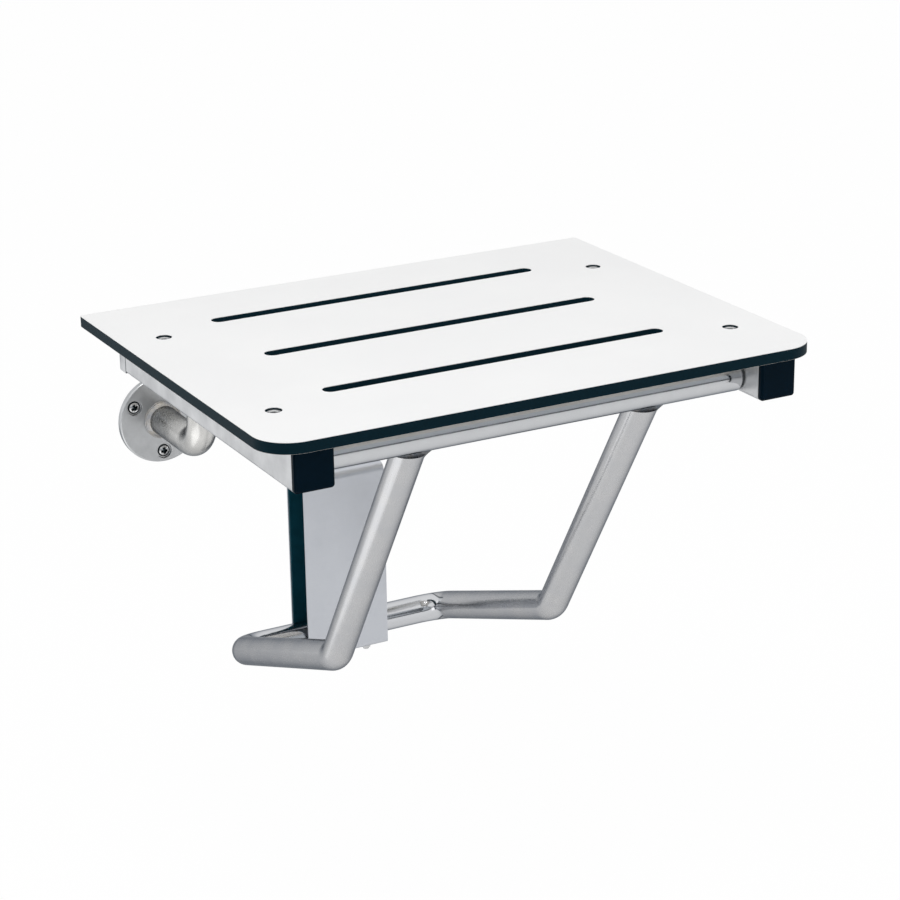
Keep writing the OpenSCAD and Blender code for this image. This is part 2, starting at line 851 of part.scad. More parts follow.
// Corner points of the leg frame, from the left leg's top round to the right leg's top
function leg_top(s) = [s * leg_x, bar_y, bar_z];
function knee(s) = [s * leg_x, knee_y, knee_z];
function rear_corner(s) = [s * leg_x, slide_y, slide_z];
leg_points = [leg_top(-1), knee(-1), rear_corner(-1), rear_corner(1), knee(1), leg_top(1)];
leg_bends = [knee_r, rear_r, rear_r, knee_r];

// The two legs and the bar between them, one bent tube, cut level under the crossbar
module leg_tube() color("lightgray") {
    difference() {
        bent_tube(leg_points, leg_bends);
        above_leg_cut();
    }
}

// All space above the legs' cut tops
module above_leg_cut() {
    translate([-board_w / 2, front_y, leg_cut_z])
        cube([board_w, board_d, rail_size]);
}

// A weld plate on a leg's cut top, with two wings that taper down the tube's sides
module leg_weld(s) {
    wide = tube_r + weld_reach;
    narrow = tube_r + slip;
    half = weld_deep / 2;
    tip = weld_tip / 2;
    difference() {
        translate([s * leg_x, bar_y - weld_front + half, leg_top_z])
            intersection() {
                translate([0, half, 0])
                    rotate([90, 0, 0])
                        linear_extrude(weld_deep)
                            polygon([[-wide, 0], [-narrow, -weld_h], [narrow, -weld_h], [wide, 0]]);
                translate([0, 0, -weld_h])
                    linear_extrude(weld_h)
                        polygon([[-wide, -tip], [-narrow, -half], [narrow, -half], [wide, -tip],
                            [wide, tip], [narrow, half], [-narrow, half], [-wide, tip]]);
            }
        difference() {
            rod(leg_top(s), knee(s), tube_r, 0);
            above_leg_cut();
        }
    }
}

module leg_welds() color("gray") {
    for (s = [-1, 1])
        leg_weld(s);
}

seat_board();
seat_screws();
seat_nuts();
rail_left();
rail_right();
front_cap_left();
front_cap_right();
rail_end_left();
rail_end_right();
crossbar();
crossbar_plug_left();
crossbar_plug_right();
stub_bush_left();
stub_bush_right();
hinge_boss_left();
hinge_boss_right();
hinge_bolt_left();
hinge_bolt_right();
hinge_washer_left();
hinge_washer_right();
hinge_barrel_left();
hinge_barrel_right();
hinge_bushes_left();
hinge_bushes_right();
wall_arm_left();
wall_arm_right();
arm_weld_left();
arm_weld_right();
wall_flange_left();
wall_flange_right();
flange_screws_left();
flange_screws_right();
guide_front_plate();
guide_back_plate();
guide_liner();
guide_wall_screws();
guide_lock_screws();
guide_lock_nuts();
guide_shoe();
leg_tube();
leg_welds();
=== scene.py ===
# %% [markdown]
# # Fold down wall seat
# A slotted white board on two square rails hangs on two wall arms, and a bent tube props it.
# The tube's level bar slides up and down in a wall guide while the board folds up.
# The exact solids come from the CAD frame, so this lesson only gives them finer forms where the
# eye wants them, and a finish. Every length is in metres, in the frame's own place.

# %% Load the frame
import bpy
import bmesh
import math
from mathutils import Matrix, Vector


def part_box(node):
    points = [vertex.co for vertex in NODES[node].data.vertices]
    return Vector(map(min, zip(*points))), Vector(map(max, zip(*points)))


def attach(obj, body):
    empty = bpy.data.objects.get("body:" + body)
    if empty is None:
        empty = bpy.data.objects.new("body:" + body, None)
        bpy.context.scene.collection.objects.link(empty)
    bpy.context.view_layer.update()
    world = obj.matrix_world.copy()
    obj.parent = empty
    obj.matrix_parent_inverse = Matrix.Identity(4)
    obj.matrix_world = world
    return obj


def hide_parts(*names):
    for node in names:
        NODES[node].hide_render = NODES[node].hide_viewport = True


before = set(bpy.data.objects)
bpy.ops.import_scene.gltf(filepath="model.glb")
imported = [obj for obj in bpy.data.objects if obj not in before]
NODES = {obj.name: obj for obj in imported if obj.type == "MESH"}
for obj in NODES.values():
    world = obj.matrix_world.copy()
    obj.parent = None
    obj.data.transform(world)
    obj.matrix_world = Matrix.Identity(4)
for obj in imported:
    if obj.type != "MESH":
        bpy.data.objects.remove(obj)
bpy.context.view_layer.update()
SCENE = bpy.context.scene

# %% [markdown]
# ## Camera
# The place of the camera was fitted to a few dozen points of the photograph: board corners,
# slot ends, screws, cap corners and the bends of the tube. It stands 28 degrees to the left of
# the seat's front and looks 20 degrees down, from about two metres, through a long lens.

# %% Camera
CAMERA_AT = (-0.889885, -1.893144, 0.846998)
CAMERA_TURN = (70.1675, 0.7996, -28.4941)
FOCAL_PIXELS = 2491.1
FRAME_PIXELS = 900
SENSOR = 36.0

lens = bpy.data.cameras.new("camera")
lens.sensor_width = SENSOR
lens.lens = FOCAL_PIXELS * SENSOR / FRAME_PIXELS
camera = bpy.data.objects.new("camera", lens)
SCENE.collection.objects.link(camera)
camera.location = CAMERA_AT
camera.rotation_euler = [math.radians(a) for a in CAMERA_TURN]
SCENE.camera = camera
SCENE.view_settings.view_transform = "Standard"
print("lens", round(lens.lens, 2), "mm")

# %% [markdown]
# ## Node helpers
# Shader trees and geometry trees are both built from nodes and links. One helper adds a node
# and sets its values by name, whether the name is a setting or an input socket. A constant goes
# straight on a socket, so that the finish survives an export.

# %% Node helpers
def add(tree, kind, **values):
    """Add a node, and set its settings and its inputs by name."""
    node = tree.nodes.new(kind)
    for key, value in values.items():
        if key in node.bl_rna.properties:
            setattr(node, key, value)
        else:
            node.inputs[key.replace("_", " ")].default_value = value
    return node


def math_node(tree, operation, a, b=0):
    """One step of arithmetic; a and b are numbers or output sockets."""
    node = add(tree, "ShaderNodeMath", operation=operation)
    for socket, value in zip(node.inputs, (a, b)):
        if isinstance(value, (int, float)):
            socket.default_value = value
        else:
            tree.links.new(value, socket)
    return node.outputs[0]


def new_finish(name):
    """A material with its tree, its surface shader and the object's own coordinates."""
    material = bpy.data.materials.new(name)
    material.use_nodes = True
    tree = material.node_tree
    place = add(tree, "ShaderNodeTexCoord").outputs["Object"]
    return material, tree, tree.nodes["Principled BSDF"], place


def coordinates(tree, place):
    """The X, Y and Z of a place, each a socket of its own."""
    split = add(tree, "ShaderNodeSeparateXYZ")
    tree.links.new(place, split.inputs[0])
    return split.outputs


def distance(tree, value, middle):
    """How far a value is from a middle, on either side of it."""
    return math_node(tree, "ABSOLUTE", math_node(tree, "SUBTRACT", value, middle))


def noise(tree, where, stretch, scale, detail=3.0, rough=0.55):
    """Noise in stretched coordinates: a small stretch along an axis draws lines along it."""
    mapping = add(tree, "ShaderNodeMapping", Scale=stretch)
    tree.links.new(where, mapping.inputs["Vector"])
    node = add(tree, "ShaderNodeTexNoise", Scale=scale, Detail=detail, Roughness=rough)
    tree.links.new(mapping.outputs[0], node.inputs["Vector"])
    return node.outputs["Fac"]


def spread(tree, value, low, high, to_low, to_high):
    """Map a value from one range to another, and keep it inside."""
    node = add(tree, "ShaderNodeMapRange", From_Min=low, From_Max=high,
               To_Min=to_low, To_Max=to_high)
    tree.links.new(value, node.inputs["Value"])
    return node.outputs["Result"]


NOISE_LOW, NOISE_HIGH = 0.3, 0.7


def vary(tree, value, to_low, to_high):
    """Spread a noise, most of which lies between its low and its high, over a range."""
    return spread(tree, value, NOISE_LOW, NOISE_HIGH, to_low, to_high)


def blend_colours(tree, share, first, second):
    """Mix two colours by a share; either may be a colour or an output socket."""
    node = add(tree, "ShaderNodeMix", data_type="RGBA")
    tree.links.new(share, node.inputs[0])
    for socket, value in ((node.inputs[6], first), (node.inputs[7], second)):
        if isinstance(value, tuple):
            socket.default_value = (*value, 1)
        else:
            tree.links.new(value, socket)
    return node.outputs[2]


def raise_bump(tree, shader, height, depth, strength=1.0):
    """Let a height in metres tilt the surface's normals."""
    node = add(tree, "ShaderNodeBump", Distance=depth, Strength=strength)
    tree.links.new(height, node.inputs["Height"])
    tree.links.new(node.outputs[0], shader.inputs["Normal"])


# %% [markdown]
# ## Satin stainless steel
# Rails, flanges and tubes are stainless, blasted or brushed to a satin. Three things tell it from
# plain grey: a base colour that is a little uneven, a gloss that varies from patch to patch, and
# fine brushing lines. The edge tint darkens the steel where it is seen at a grazing angle, as
# real satin tube is dark along its outline. A rail has one thing more: a fine dark seam where its
# rounded rear end is joined on.

# %% Satin steel
EDGE_TINT = (0.22, 0.24, 0.27, 1)
SEAM_WIDE, SEAM_GREY = 0.0008, (0.09, 0.10, 0.11)
PATCH_GLOSS, LINE_GLOSS = 0.05, 0.04
BRUSH_DEEP, BRUSH_STRENGTH = 2e-5, 0.5


def new_metal(name, metallic=1):
    """A metal that turns to the edge tint where it is seen at a grazing angle."""
    material, tree, shader, place = new_finish(name)
    shader.inputs["Metallic"].default_value = metallic
    shader.inputs["Specular Tint"].default_value = EDGE_TINT
    return material, tree, shader, place


def satin_steel(name, colour, gloss, lines, patch=55.0, uneven=0.1, seam=None):
    """Satin steel; lines stretches its brushing, seam is the y of a dark hairline across it."""
    material, tree, shader, place = new_metal(name)
    cloud = noise(tree, place, (1, 1, 1), patch)
    dark = tuple(c * (1 - uneven) for c in colour)
    bright = tuple(min(1, c * (1 + uneven)) for c in colour)
    tint = blend_colours(tree, vary(tree, cloud, 0, 1), dark, bright)
    if seam is not None:
        off_seam = distance(tree, coordinates(tree, place)["Y"], seam)
        on_seam = spread(tree, off_seam, SEAM_WIDE / 2, SEAM_WIDE, 1, 0)
        tint = blend_colours(tree, on_seam, tint, SEAM_GREY)
    tree.links.new(tint, shader.inputs["Base Color"])
    brushed = noise(tree, place, lines, 1.0, detail=4.0)
    rough = math_node(tree, "ADD", vary(tree, brushed, -LINE_GLOSS, LINE_GLOSS),
                      vary(tree, cloud, gloss - PATCH_GLOSS, gloss + PATCH_GLOSS))
    tree.links.new(rough, shader.inputs["Roughness"])
    raise_bump(tree, shader, brushed, BRUSH_DEEP, BRUSH_STRENGTH)
    return material


ALONG_X = (25, 1800, 1800)
ALONG_Y = (1800, 25, 1800)
EVEN = (450, 450, 450)
RAIL_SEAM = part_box("rail_left")[1][1]
RAIL_STEEL = satin_steel("rail steel, satin", (0.78, 0.785, 0.79), 0.36, ALONG_Y,
                         seam=RAIL_SEAM)
BAR_STEEL = satin_steel("crossbar steel, satin", (0.565, 0.575, 0.59), 0.13, ALONG_X,
                         uneven=0.03)
FLANGE_STEEL = satin_steel("flange steel, satin", (0.56, 0.57, 0.58), 0.36, EVEN, patch=90.0)
ARM_STEEL = satin_steel("arm steel, polished", (0.64, 0.635, 0.62), 0.27, EVEN, patch=70.0)
GUIDE_STEEL = satin_steel("guide sheet, fine satin", (0.61, 0.63, 0.67), 0.40, ALONG_X,
                          uneven=0.03)
print("steel finishes ready, rail seam at y", round(RAIL_SEAM, 4))

# %% [markdown]
# ## Steel of the leg tube
# The bent tube has a smoother satin than the rails. The middle of its level bar runs in the
# guide, so that stretch is ground and polished up to a thin ring on each side. The tube carries an
# attribute that follows its surface, round and along, so the brushing bends with the tube.

# %% Leg steel
POLISHED_HALF, POLISHED_FADE = 0.092, 2e-4
POLISHED_GREY, POLISHED_GLOSS = (0.62, 0.63, 0.65), -0.12
BAR_FRONT, BAR_FADE = -0.045, 1e-3
RING_WIDE, RING_GREY = 0.0007, (0.2, 0.21, 0.22)


def leg_steel():
    """Satin tube steel, with a polished middle between two ground rings."""
    material, tree, shader, place = new_metal("leg steel, satin")
    skin = add(tree, "ShaderNodeAttribute", attribute_name="skin").outputs["Vector"]
    brushed = noise(tree, skin, (1300, 1300, 30), 1.0, detail=4.0)
    cloud = noise(tree, place, (1, 1, 1), 45.0)
    at = coordinates(tree, place)
    across = math_node(tree, "ABSOLUTE", at["X"])
    inside = spread(tree, across, POLISHED_HALF - POLISHED_FADE,
                    POLISHED_HALF + POLISHED_FADE, 1, 0)
    on_bar = spread(tree, at["Y"], BAR_FRONT, BAR_FRONT + BAR_FADE, 0, 1)
    polished = math_node(tree, "MULTIPLY", inside, on_bar)
    off_ring = distance(tree, across, POLISHED_HALF)
    ring = math_node(tree, "MULTIPLY", spread(tree, off_ring, RING_WIDE / 2, RING_WIDE, 1, 0),
                     on_bar)
    satin = blend_colours(tree, vary(tree, cloud, 0, 1),
                          (0.515, 0.52, 0.535), (0.56, 0.56, 0.565))
    shiny = blend_colours(tree, polished, satin, POLISHED_GREY)
    tree.links.new(blend_colours(tree, ring, shiny, RING_GREY), shader.inputs["Base Color"])
    rough = math_node(tree, "ADD", vary(tree, brushed, -LINE_GLOSS, LINE_GLOSS),
                      vary(tree, cloud, 0.23, 0.28))
    smoother = math_node(tree, "MULTIPLY", polished, POLISHED_GLOSS)
    tree.links.new(math_node(tree, "ADD", rough, smoother), shader.inputs["Roughness"])
    raise_bump(tree, shader, brushed, BRUSH_DEEP / 2, BRUSH_STRENGTH)
    return material


LEG_STEEL = leg_steel()
print("leg steel ready")

# %% [markdown]
# ## Welds and fasteners
# A weld that is brushed but not ground stays darker than the steel beside it, with a lumpy skin;
# the leg welds' dark colour is also painted shade from the crossbar above them.
# The ring round a wall arm is ground smooth instead, and keeps a straw tint from the heat.
# Screws, bolts and nuts are bright drawn steel: smooth, with a little wear in their gloss. On the
# domed screws of the flanges a band of depth behind the top of the head is painted dark, as
# painted shade round their rims and down in their recesses.

# %% Weld and fastener finishes
def weld_finish(name, cold, warm, bright, lump_depth):
    """A weld: lumpy, with straw and blue heat colours, brighter where it is rubbed."""
    material, tree, shader, place = new_metal(name, 0.9)
    lumps = noise(tree, place, (1, 1, 1), 420.0, detail=5.0, rough=0.7)
    heat = noise(tree, place, (1, 1, 1), 130.0)
    tinted = blend_colours(tree, spread(tree, heat, 0.4, 0.65, 0, 1), cold, warm)
    tree.links.new(blend_colours(tree, spread(tree, lumps, 0.5, 0.7, 0, 1), tinted, bright),
                   shader.inputs["Base Color"])
    tree.links.new(vary(tree, lumps, 0.6, 0.35), shader.inputs["Roughness"])
    raise_bump(tree, shader, lumps, lump_depth, 0.8)
    return material


# Painted shade: a dark band for the rims and recesses of the domed flange screws.
RECESS_SHADE_GREY, RECESS_SHADE_FADE = (0.02, 0.03, 0.035), 0.0004
RECESS_SHADE_START, RECESS_SHADE_END = 0.0017, 0.0036


def fastener_finish(name, head_y=None):
    """Bright drawn steel with light scuffs; a band behind head_y, a head's top, is painted shade.
    """
    material, tree, shader, place = new_metal(name)
    scuffs = noise(tree, place, (1, 1, 1), 700.0, detail=5.0, rough=0.65)
    tint = blend_colours(tree, spread(tree, scuffs, 0.35, 0.7, 0, 1),
                         (0.62, 0.63, 0.64), (0.5, 0.5, 0.5))
    if head_y is not None:
        depth = coordinates(tree, place)["Y"]
        start, end = head_y + RECESS_SHADE_START, head_y + RECESS_SHADE_END
        past_start = spread(tree, depth, start, start + RECESS_SHADE_FADE, 0, 1)
        before_end = spread(tree, depth, end, end + RECESS_SHADE_FADE, 1, 0)
        shade_band = math_node(tree, "MULTIPLY", past_start, before_end)
        # Painted shade: the band of depth behind the head's top is darkened.
        tint = blend_colours(tree, shade_band, tint, RECESS_SHADE_GREY)
    tree.links.new(tint, shader.inputs["Base Color"])
    tree.links.new(vary(tree, scuffs, 0.14, 0.3), shader.inputs["Roughness"])
    raise_bump(tree, shader, scuffs, 3e-5, 0.4)
    return material


# Dark, cold colours: the weld's own heat colour and painted shade under the crossbar together.
SHADED_WELD = weld_finish("weld, brushed", (0.15, 0.17, 0.20), (0.26, 0.25, 0.24),
                   (0.38, 0.39, 0.40), 6e-4)
GROUND_WELD = weld_finish("weld, ground", (0.42, 0.43, 0.45), (0.52, 0.49, 0.44),
                          (0.55, 0.54, 0.52), 1.5e-4)
FASTENER = fastener_finish("fastener steel, bright")
# The band behind this screw's head top is painted shade.
DOMED_SCREW = fastener_finish("flange screw steel, grimy recess",
                              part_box("flange_screws_left")[0][1])
print("weld and fastener finishes ready")

# %% [markdown]
# ## Plastics and laminate
# The end caps and the guide's liner are near black with a cold tint and a fine moulded grain;
# the liner's black is painted lighter than the caps' to make up for the shade it sits in.
# The board is compact laminate: a white skin on a black core, so its edges and its slots show
# black, with a cream backing sheet underneath, darker than the skin as painted shade. The height
# over the board's underside tells skin, core and backing apart, so one finish does all three.

# %% Plastic finishes
FAINT_GLOSS = 0.07
COLD_TINT = (0.35, 0.8, 1.0, 1)


def plastic(name, colour, low_gloss, high_gloss, grain):
    """Moulded plastic with a fine grain; grain is its number of bumps in a metre."""
    material, tree, shader, place = new_finish(name)
    shader.inputs["Specular IOR Level"].default_value = FAINT_GLOSS
    shader.inputs["Specular Tint"].default_value = COLD_TINT
    pits = noise(tree, place, (1, 1, 1), grain, detail=2.0)
    cloud = noise(tree, place, (1, 1, 1), 60.0)
    lighter = tuple(c * 1.25 for c in colour)
    tree.links.new(blend_colours(tree, spread(tree, cloud, 0.35, 0.65, 0, 1), colour, lighter),
                   shader.inputs["Base Color"])
    tree.links.new(vary(tree, cloud, low_gloss, high_gloss),
                   shader.inputs["Roughness"])
    raise_bump(tree, shader, pits, 4e-5, 0.5)
    return material


CAP_PLASTIC = plastic("cap plastic, black", (0.0006, 0.0045, 0.0105), 0.38, 0.48, 1800.0)
# Painted light: the liner's black is raised well over the caps' to lift it out of its shade.
LINER_PLASTIC_PAINTED_LIGHTER = plastic("liner plastic, black", (0.004, 0.042, 0.062), 0.40, 0.52, 1200.0)
SHOE_NYLON = plastic("shoe nylon, black", (0.01, 0.012, 0.014), 0.35, 0.45, 1500.0)
BUSH_NYLON = plastic("bush nylon, grey", (0.13, 0.14, 0.15), 0.35, 0.45, 1500.0)

# %% Laminate finish
def corners_of(node):
    """The lowest and the highest corner of a CAD node."""
    return [Vector(corner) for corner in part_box(node)]


BOARD_LO, BOARD_HI = corners_of("seat_board")
SKIN = 0.0004
# Cream backing, darker than the skin: a backing sheet's colour and painted shade of the underside.
BACKING_CREAM_AND_SHADE = (0.78, 0.755, 0.71)


def laminate():
    """White skin, black core and a cream backing that is partly painted shade, told apart by
    height.
    """
    material, tree, shader, place = new_finish("compact laminate")
    shader.inputs["Specular IOR Level"].default_value = FAINT_GLOSS
    height = coordinates(tree, place)["Z"]
    above = math_node(tree, "GREATER_THAN", height, BOARD_HI.z - SKIN)
    below = math_node(tree, "LESS_THAN", height, BOARD_LO.z + SKIN / 4)
    speck = noise(tree, place, (1, 1, 1), 2200.0, detail=3.0)
    cloud = noise(tree, place, (1, 1, 1), 9.0)
    white = blend_colours(tree, spread(tree, cloud, 0.35, 0.65, 0, 1),
                          (0.862, 0.862, 0.862), (0.882, 0.882, 0.880))
    black = blend_colours(tree, spread(tree, speck, 0.3, 0.75, 0, 1),
                          (0.0004, 0.011, 0.018), (0.0012, 0.020, 0.031))
    backing_and_shade = blend_colours(tree, below, black, BACKING_CREAM_AND_SHADE)
    tree.links.new(blend_colours(tree, above, backing_and_shade, white), shader.inputs["Base Color"])
    tree.links.new(vary(tree, speck, 0.5, 0.6), shader.inputs["Roughness"])
    raise_bump(tree, shader, speck, 3e-5, 0.35)
    return material


LAMINATE = laminate()
print("laminate skin", SKIN * 1000, "mm on a board of", round((BOARD_HI.z - BOARD_LO.z) * 1000, 2))

# %% [markdown]
# ## Geometry trees
# A geometry tree is a recipe with named inputs. It is built once, run as a modifier on a small
# starting mesh, and its result is kept as a plain mesh. A modifier's input is set by its
# socket's identifier, before the object is first worked out.

# %% Tree helpers
def new_tree(name, inputs):
    """An empty geometry tree with named inputs, each a name and a socket kind."""
    tree = bpy.data.node_groups.new(name, "GeometryNodeTree")
    face = tree.interface
    face.new_socket("Geometry", in_out="INPUT", socket_type="NodeSocketGeometry")
    for label, kind in inputs:
        face.new_socket(label, in_out="INPUT", socket_type="NodeSocket" + kind)
    face.new_socket("Geometry", in_out="OUTPUT", socket_type="NodeSocketGeometry")
    return tree, tree.nodes.new("NodeGroupInput").outputs, tree.nodes.new("NodeGroupOutput")


def chain(tree, geometry, *nodes):
    """Lead a geometry through nodes, from the first geometry socket of each to the next."""
    for node in nodes:
        entry = next(s for s in node.inputs if s.type == "GEOMETRY")
        tree.links.new(geometry, entry)
        geometry = next(s for s in node.outputs if s.type == "GEOMETRY")
    return geometry


def read_attribute(tree, name, kind="FLOAT"):
    """The values that the points carry under a name."""
    node = add(tree, "GeometryNodeInputNamedAttribute", data_type=kind)
    node.inputs["Name"].default_value = name
    return node.outputs[0]


def store_attribute(tree, name, value, kind="FLOAT"):
    """A node that gives the points values under a name."""
    node = add(tree, "GeometryNodeStoreNamedAttribute", data_type=kind, domain="POINT")
    node.inputs["Name"].default_value = name
    tree.links.new(value, node.inputs["Value"])
    return node


def finish_tree(tree, geometry, sockets, out):
    """End a tree: make instances real and set the material."""
    real = add(tree, "GeometryNodeRealizeInstances")
    paint = add(tree, "GeometryNodeSetMaterial")
    tree.links.new(sockets["Material"], paint.inputs["Material"])
    tree.links.new(chain(tree, geometry, real, paint), out.inputs[0])


def new_piece(name, mesh):
    """An object at the origin that holds a mesh."""
    piece = bpy.data.objects.new(name, mesh)
    SCENE.collection.objects.link(piece)
    return piece


def bake(piece):
    """Keep what the modifiers make as a plain mesh, and drop the modifiers."""
    made = piece.evaluated_get(bpy.context.evaluated_depsgraph_get())
    mesh = bpy.data.meshes.new_from_object(made)
    piece.modifiers.clear()
    piece.data = mesh
    mesh.name = piece.name
    return piece


def run_tree(piece, tree, **values):
    """Run a tree on a piece, with its inputs by name, and keep the result."""
    modifier = piece.modifiers.new(tree.name, "NODES")
    modifier.node_group = tree
    for item in tree.interface.items_tree:
        if item.item_type == "SOCKET" and item.in_out == "INPUT":
            key = item.name.replace(" ", "_").lower()
            if key in values:
                modifier[item.identifier] = values[key]
    return bake(piece)


def soften(piece, width, angle=40):
    """Break sharp edges with a small bevel, and keep flat faces flat to the light."""
    piece.data.shade_smooth()
    bevel = piece.modifiers.new("bevel", "BEVEL")
    bevel.width = width
    bevel.segments = 2
    bevel.limit_method = "ANGLE"
    bevel.angle_limit = math.radians(angle)
    even = piece.modifiers.new("even", "WEIGHTED_NORMAL")
    even.keep_sharp = True
    return bake(piece)


def path_mesh(name, points, bends=None, closed=False):
    """A line of edges through points, with a bend radius at each point."""
    mesh = bpy.data.meshes.new(name)
    edges = [(i, i + 1) for i in range(len(points) - 1)]
    if closed:
        edges.append((len(points) - 1, 0))
    mesh.from_pydata(points, edges, [])
    radii = mesh.attributes.new("bend_radius", "FLOAT", "POINT")
    radii.data.foreach_set("value", bends or [0.0] * len(points))
    return mesh


# %% [markdown]
# ## The board
# The board is sawn from a sheet, with two large round corners in front, two small ones behind,
# three long drain slots and four screw holes. The slots repeat at one pitch, so a tree places
# them: it rounds the outline's corners, lays the slots and holes inside it, fills what lies
# between and pulls it up to the board's thickness.

# %% Board tree
CORNER_STEPS, HOLE_STEPS = 14, 40
SLOT_END_SHARE = 0.4999
SAME_PLACE = 1e-6


def board_tree():
    """Outline with corner radii and loose points for holes -> slotted board."""
    tree, give, out = new_tree("Slotted board", [
        ("Underside", "Float"), ("Thickness", "Float"), ("Slot count", "Int"),
        ("Slot length", "Float"), ("Slot width", "Float"), ("First slot", "Vector"),
        ("Slot pitch", "Vector"), ("Hole radius", "Float"), ("Material", "Material")])
    split = add(tree, "GeometryNodeSeparateGeometry", domain="POINT")
    tree.links.new(give["Geometry"], split.inputs[0])
    tree.links.new(read_attribute(tree, "hole"), split.inputs["Selection"])
    line = add(tree, "GeometryNodeMeshToCurve")
    corners = add(tree, "GeometryNodeFilletCurve", mode="POLY")
    corners.inputs["Count"].default_value = CORNER_STEPS
    tree.links.new(read_attribute(tree, "bend_radius"), corners.inputs["Radius"])
    outline = chain(tree, split.outputs["Inverted"], line, corners)

    slot = add(tree, "GeometryNodeCurvePrimitiveQuadrilateral")
    tree.links.new(give["Slot length"], slot.inputs["Width"])
    tree.links.new(give["Slot width"], slot.inputs["Height"])
    ends = add(tree, "GeometryNodeFilletCurve", mode="POLY")
    ends.inputs["Count"].default_value = CORNER_STEPS
    ends.inputs["Limit Radius"].default_value = True
    tree.links.new(math_node(tree, "MULTIPLY", give["Slot width"], SLOT_END_SHARE),
                   ends.inputs["Radius"])
    row = add(tree, "GeometryNodeMeshLine", mode="OFFSET")
    tree.links.new(give["Slot count"], row.inputs["Count"])
    tree.links.new(give["First slot"], row.inputs["Start Location"])
    tree.links.new(give["Slot pitch"], row.inputs["Offset"])
    slots = add(tree, "GeometryNodeInstanceOnPoints")
    tree.links.new(chain(tree, slot.outputs[0], ends), slots.inputs["Instance"])

    circle = add(tree, "GeometryNodeCurvePrimitiveCircle")
    circle.inputs["Resolution"].default_value = HOLE_STEPS
    tree.links.new(give["Hole radius"], circle.inputs["Radius"])
    holes = add(tree, "GeometryNodeInstanceOnPoints")
    tree.links.new(circle.outputs[0], holes.inputs["Instance"])

    lines = add(tree, "GeometryNodeJoinGeometry")
    for part in (outline, chain(tree, row.outputs[0], slots),
                 chain(tree, split.outputs["Selection"], holes)):
        tree.links.new(part, lines.inputs[0])
    fill = add(tree, "GeometryNodeFillCurve", mode="NGONS")
    lift = add(tree, "GeometryNodeTransform")
    level = add(tree, "ShaderNodeCombineXYZ")
    tree.links.new(give["Underside"], level.inputs["Z"])
    tree.links.new(level.outputs[0], lift.inputs["Translation"])
    sheet = chain(tree, lines.outputs[0], add(tree, "GeometryNodeRealizeInstances"), fill, lift)
    rise = add(tree, "GeometryNodeExtrudeMesh", mode="FACES")
    rise.inputs["Individual"].default_value = False
    up = add(tree, "ShaderNodeCombineXYZ")
    tree.links.new(give["Thickness"], up.inputs["Z"])
    tree.links.new(up.outputs[0], rise.inputs["Offset"])
    body = add(tree, "GeometryNodeJoinGeometry")
    tree.links.new(chain(tree, sheet, rise), body.inputs[0])
    tree.links.new(chain(tree, sheet, add(tree, "GeometryNodeFlipFaces")), body.inputs[0])
    weld = add(tree, "GeometryNodeMergeByDistance")
    weld.inputs["Distance"].default_value = SAME_PLACE
    finish_tree(tree, chain(tree, body.outputs[0], weld), give, out)
    return tree


BOARD_TREE = board_tree()

# %% Board
FRONT_CORNER, REAR_CORNER = 0.029, 0.0025
SLOT_LONG, SLOT_WIDE, SLOT_FIRST, SLOT_PITCH = 0.297, 0.013, 0.094, 0.103
SCREW_X, SCREW_FROM_FRONT = 0.1985, (0.072, 0.279)
HOLE_RADIUS = 0.00645
BOARD_EDGE = 0.0006
screw_places = [(side * SCREW_X, BOARD_LO.y + back) for side in (-1, 1)
                for back in SCREW_FROM_FRONT]

corners = [(BOARD_LO.x, BOARD_LO.y), (BOARD_HI.x, BOARD_LO.y),
           (BOARD_HI.x, BOARD_HI.y), (BOARD_LO.x, BOARD_HI.y)]
points = [(x, y, 0) for x, y in corners + screw_places]
mesh = bpy.data.meshes.new("seat_board_dressed")
mesh.from_pydata(points, [(0, 1), (1, 2), (2, 3), (3, 0)], [])
mesh.attributes.new("bend_radius", "FLOAT", "POINT").data.foreach_set(
    "value", [FRONT_CORNER] * 2 + [REAR_CORNER] * 2 + [0.0] * len(screw_places))
mesh.attributes.new("hole", "FLOAT", "POINT").data.foreach_set(
    "value", [0.0] * len(corners) + [1.0] * len(screw_places))
board = run_tree(new_piece("seat_board_dressed", mesh), BOARD_TREE,
                 underside=BOARD_LO.z, thickness=BOARD_HI.z - BOARD_LO.z, slot_count=3,
                 slot_length=SLOT_LONG, slot_width=SLOT_WIDE,
                 first_slot=(0, BOARD_LO.y + SLOT_FIRST, 0),
                 slot_pitch=(0, SLOT_PITCH, 0), hole_radius=HOLE_RADIUS, material=LAMINATE)
soften(board, BOARD_EDGE, angle=60)
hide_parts("seat_board")
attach(board, "seat")
print("board:", len(board.data.polygons), "faces")

# %% [markdown]
# ## Bent tubes
# A bent tube is a line through corner points, with each corner rounded to its bend radius, and a
# circle swept along it. A tree does this for any such line. It stores an attribute that
# wraps round the tube and runs along it, for the brushing to follow.

# %% Tube tree
ROUND_STEPS = 64


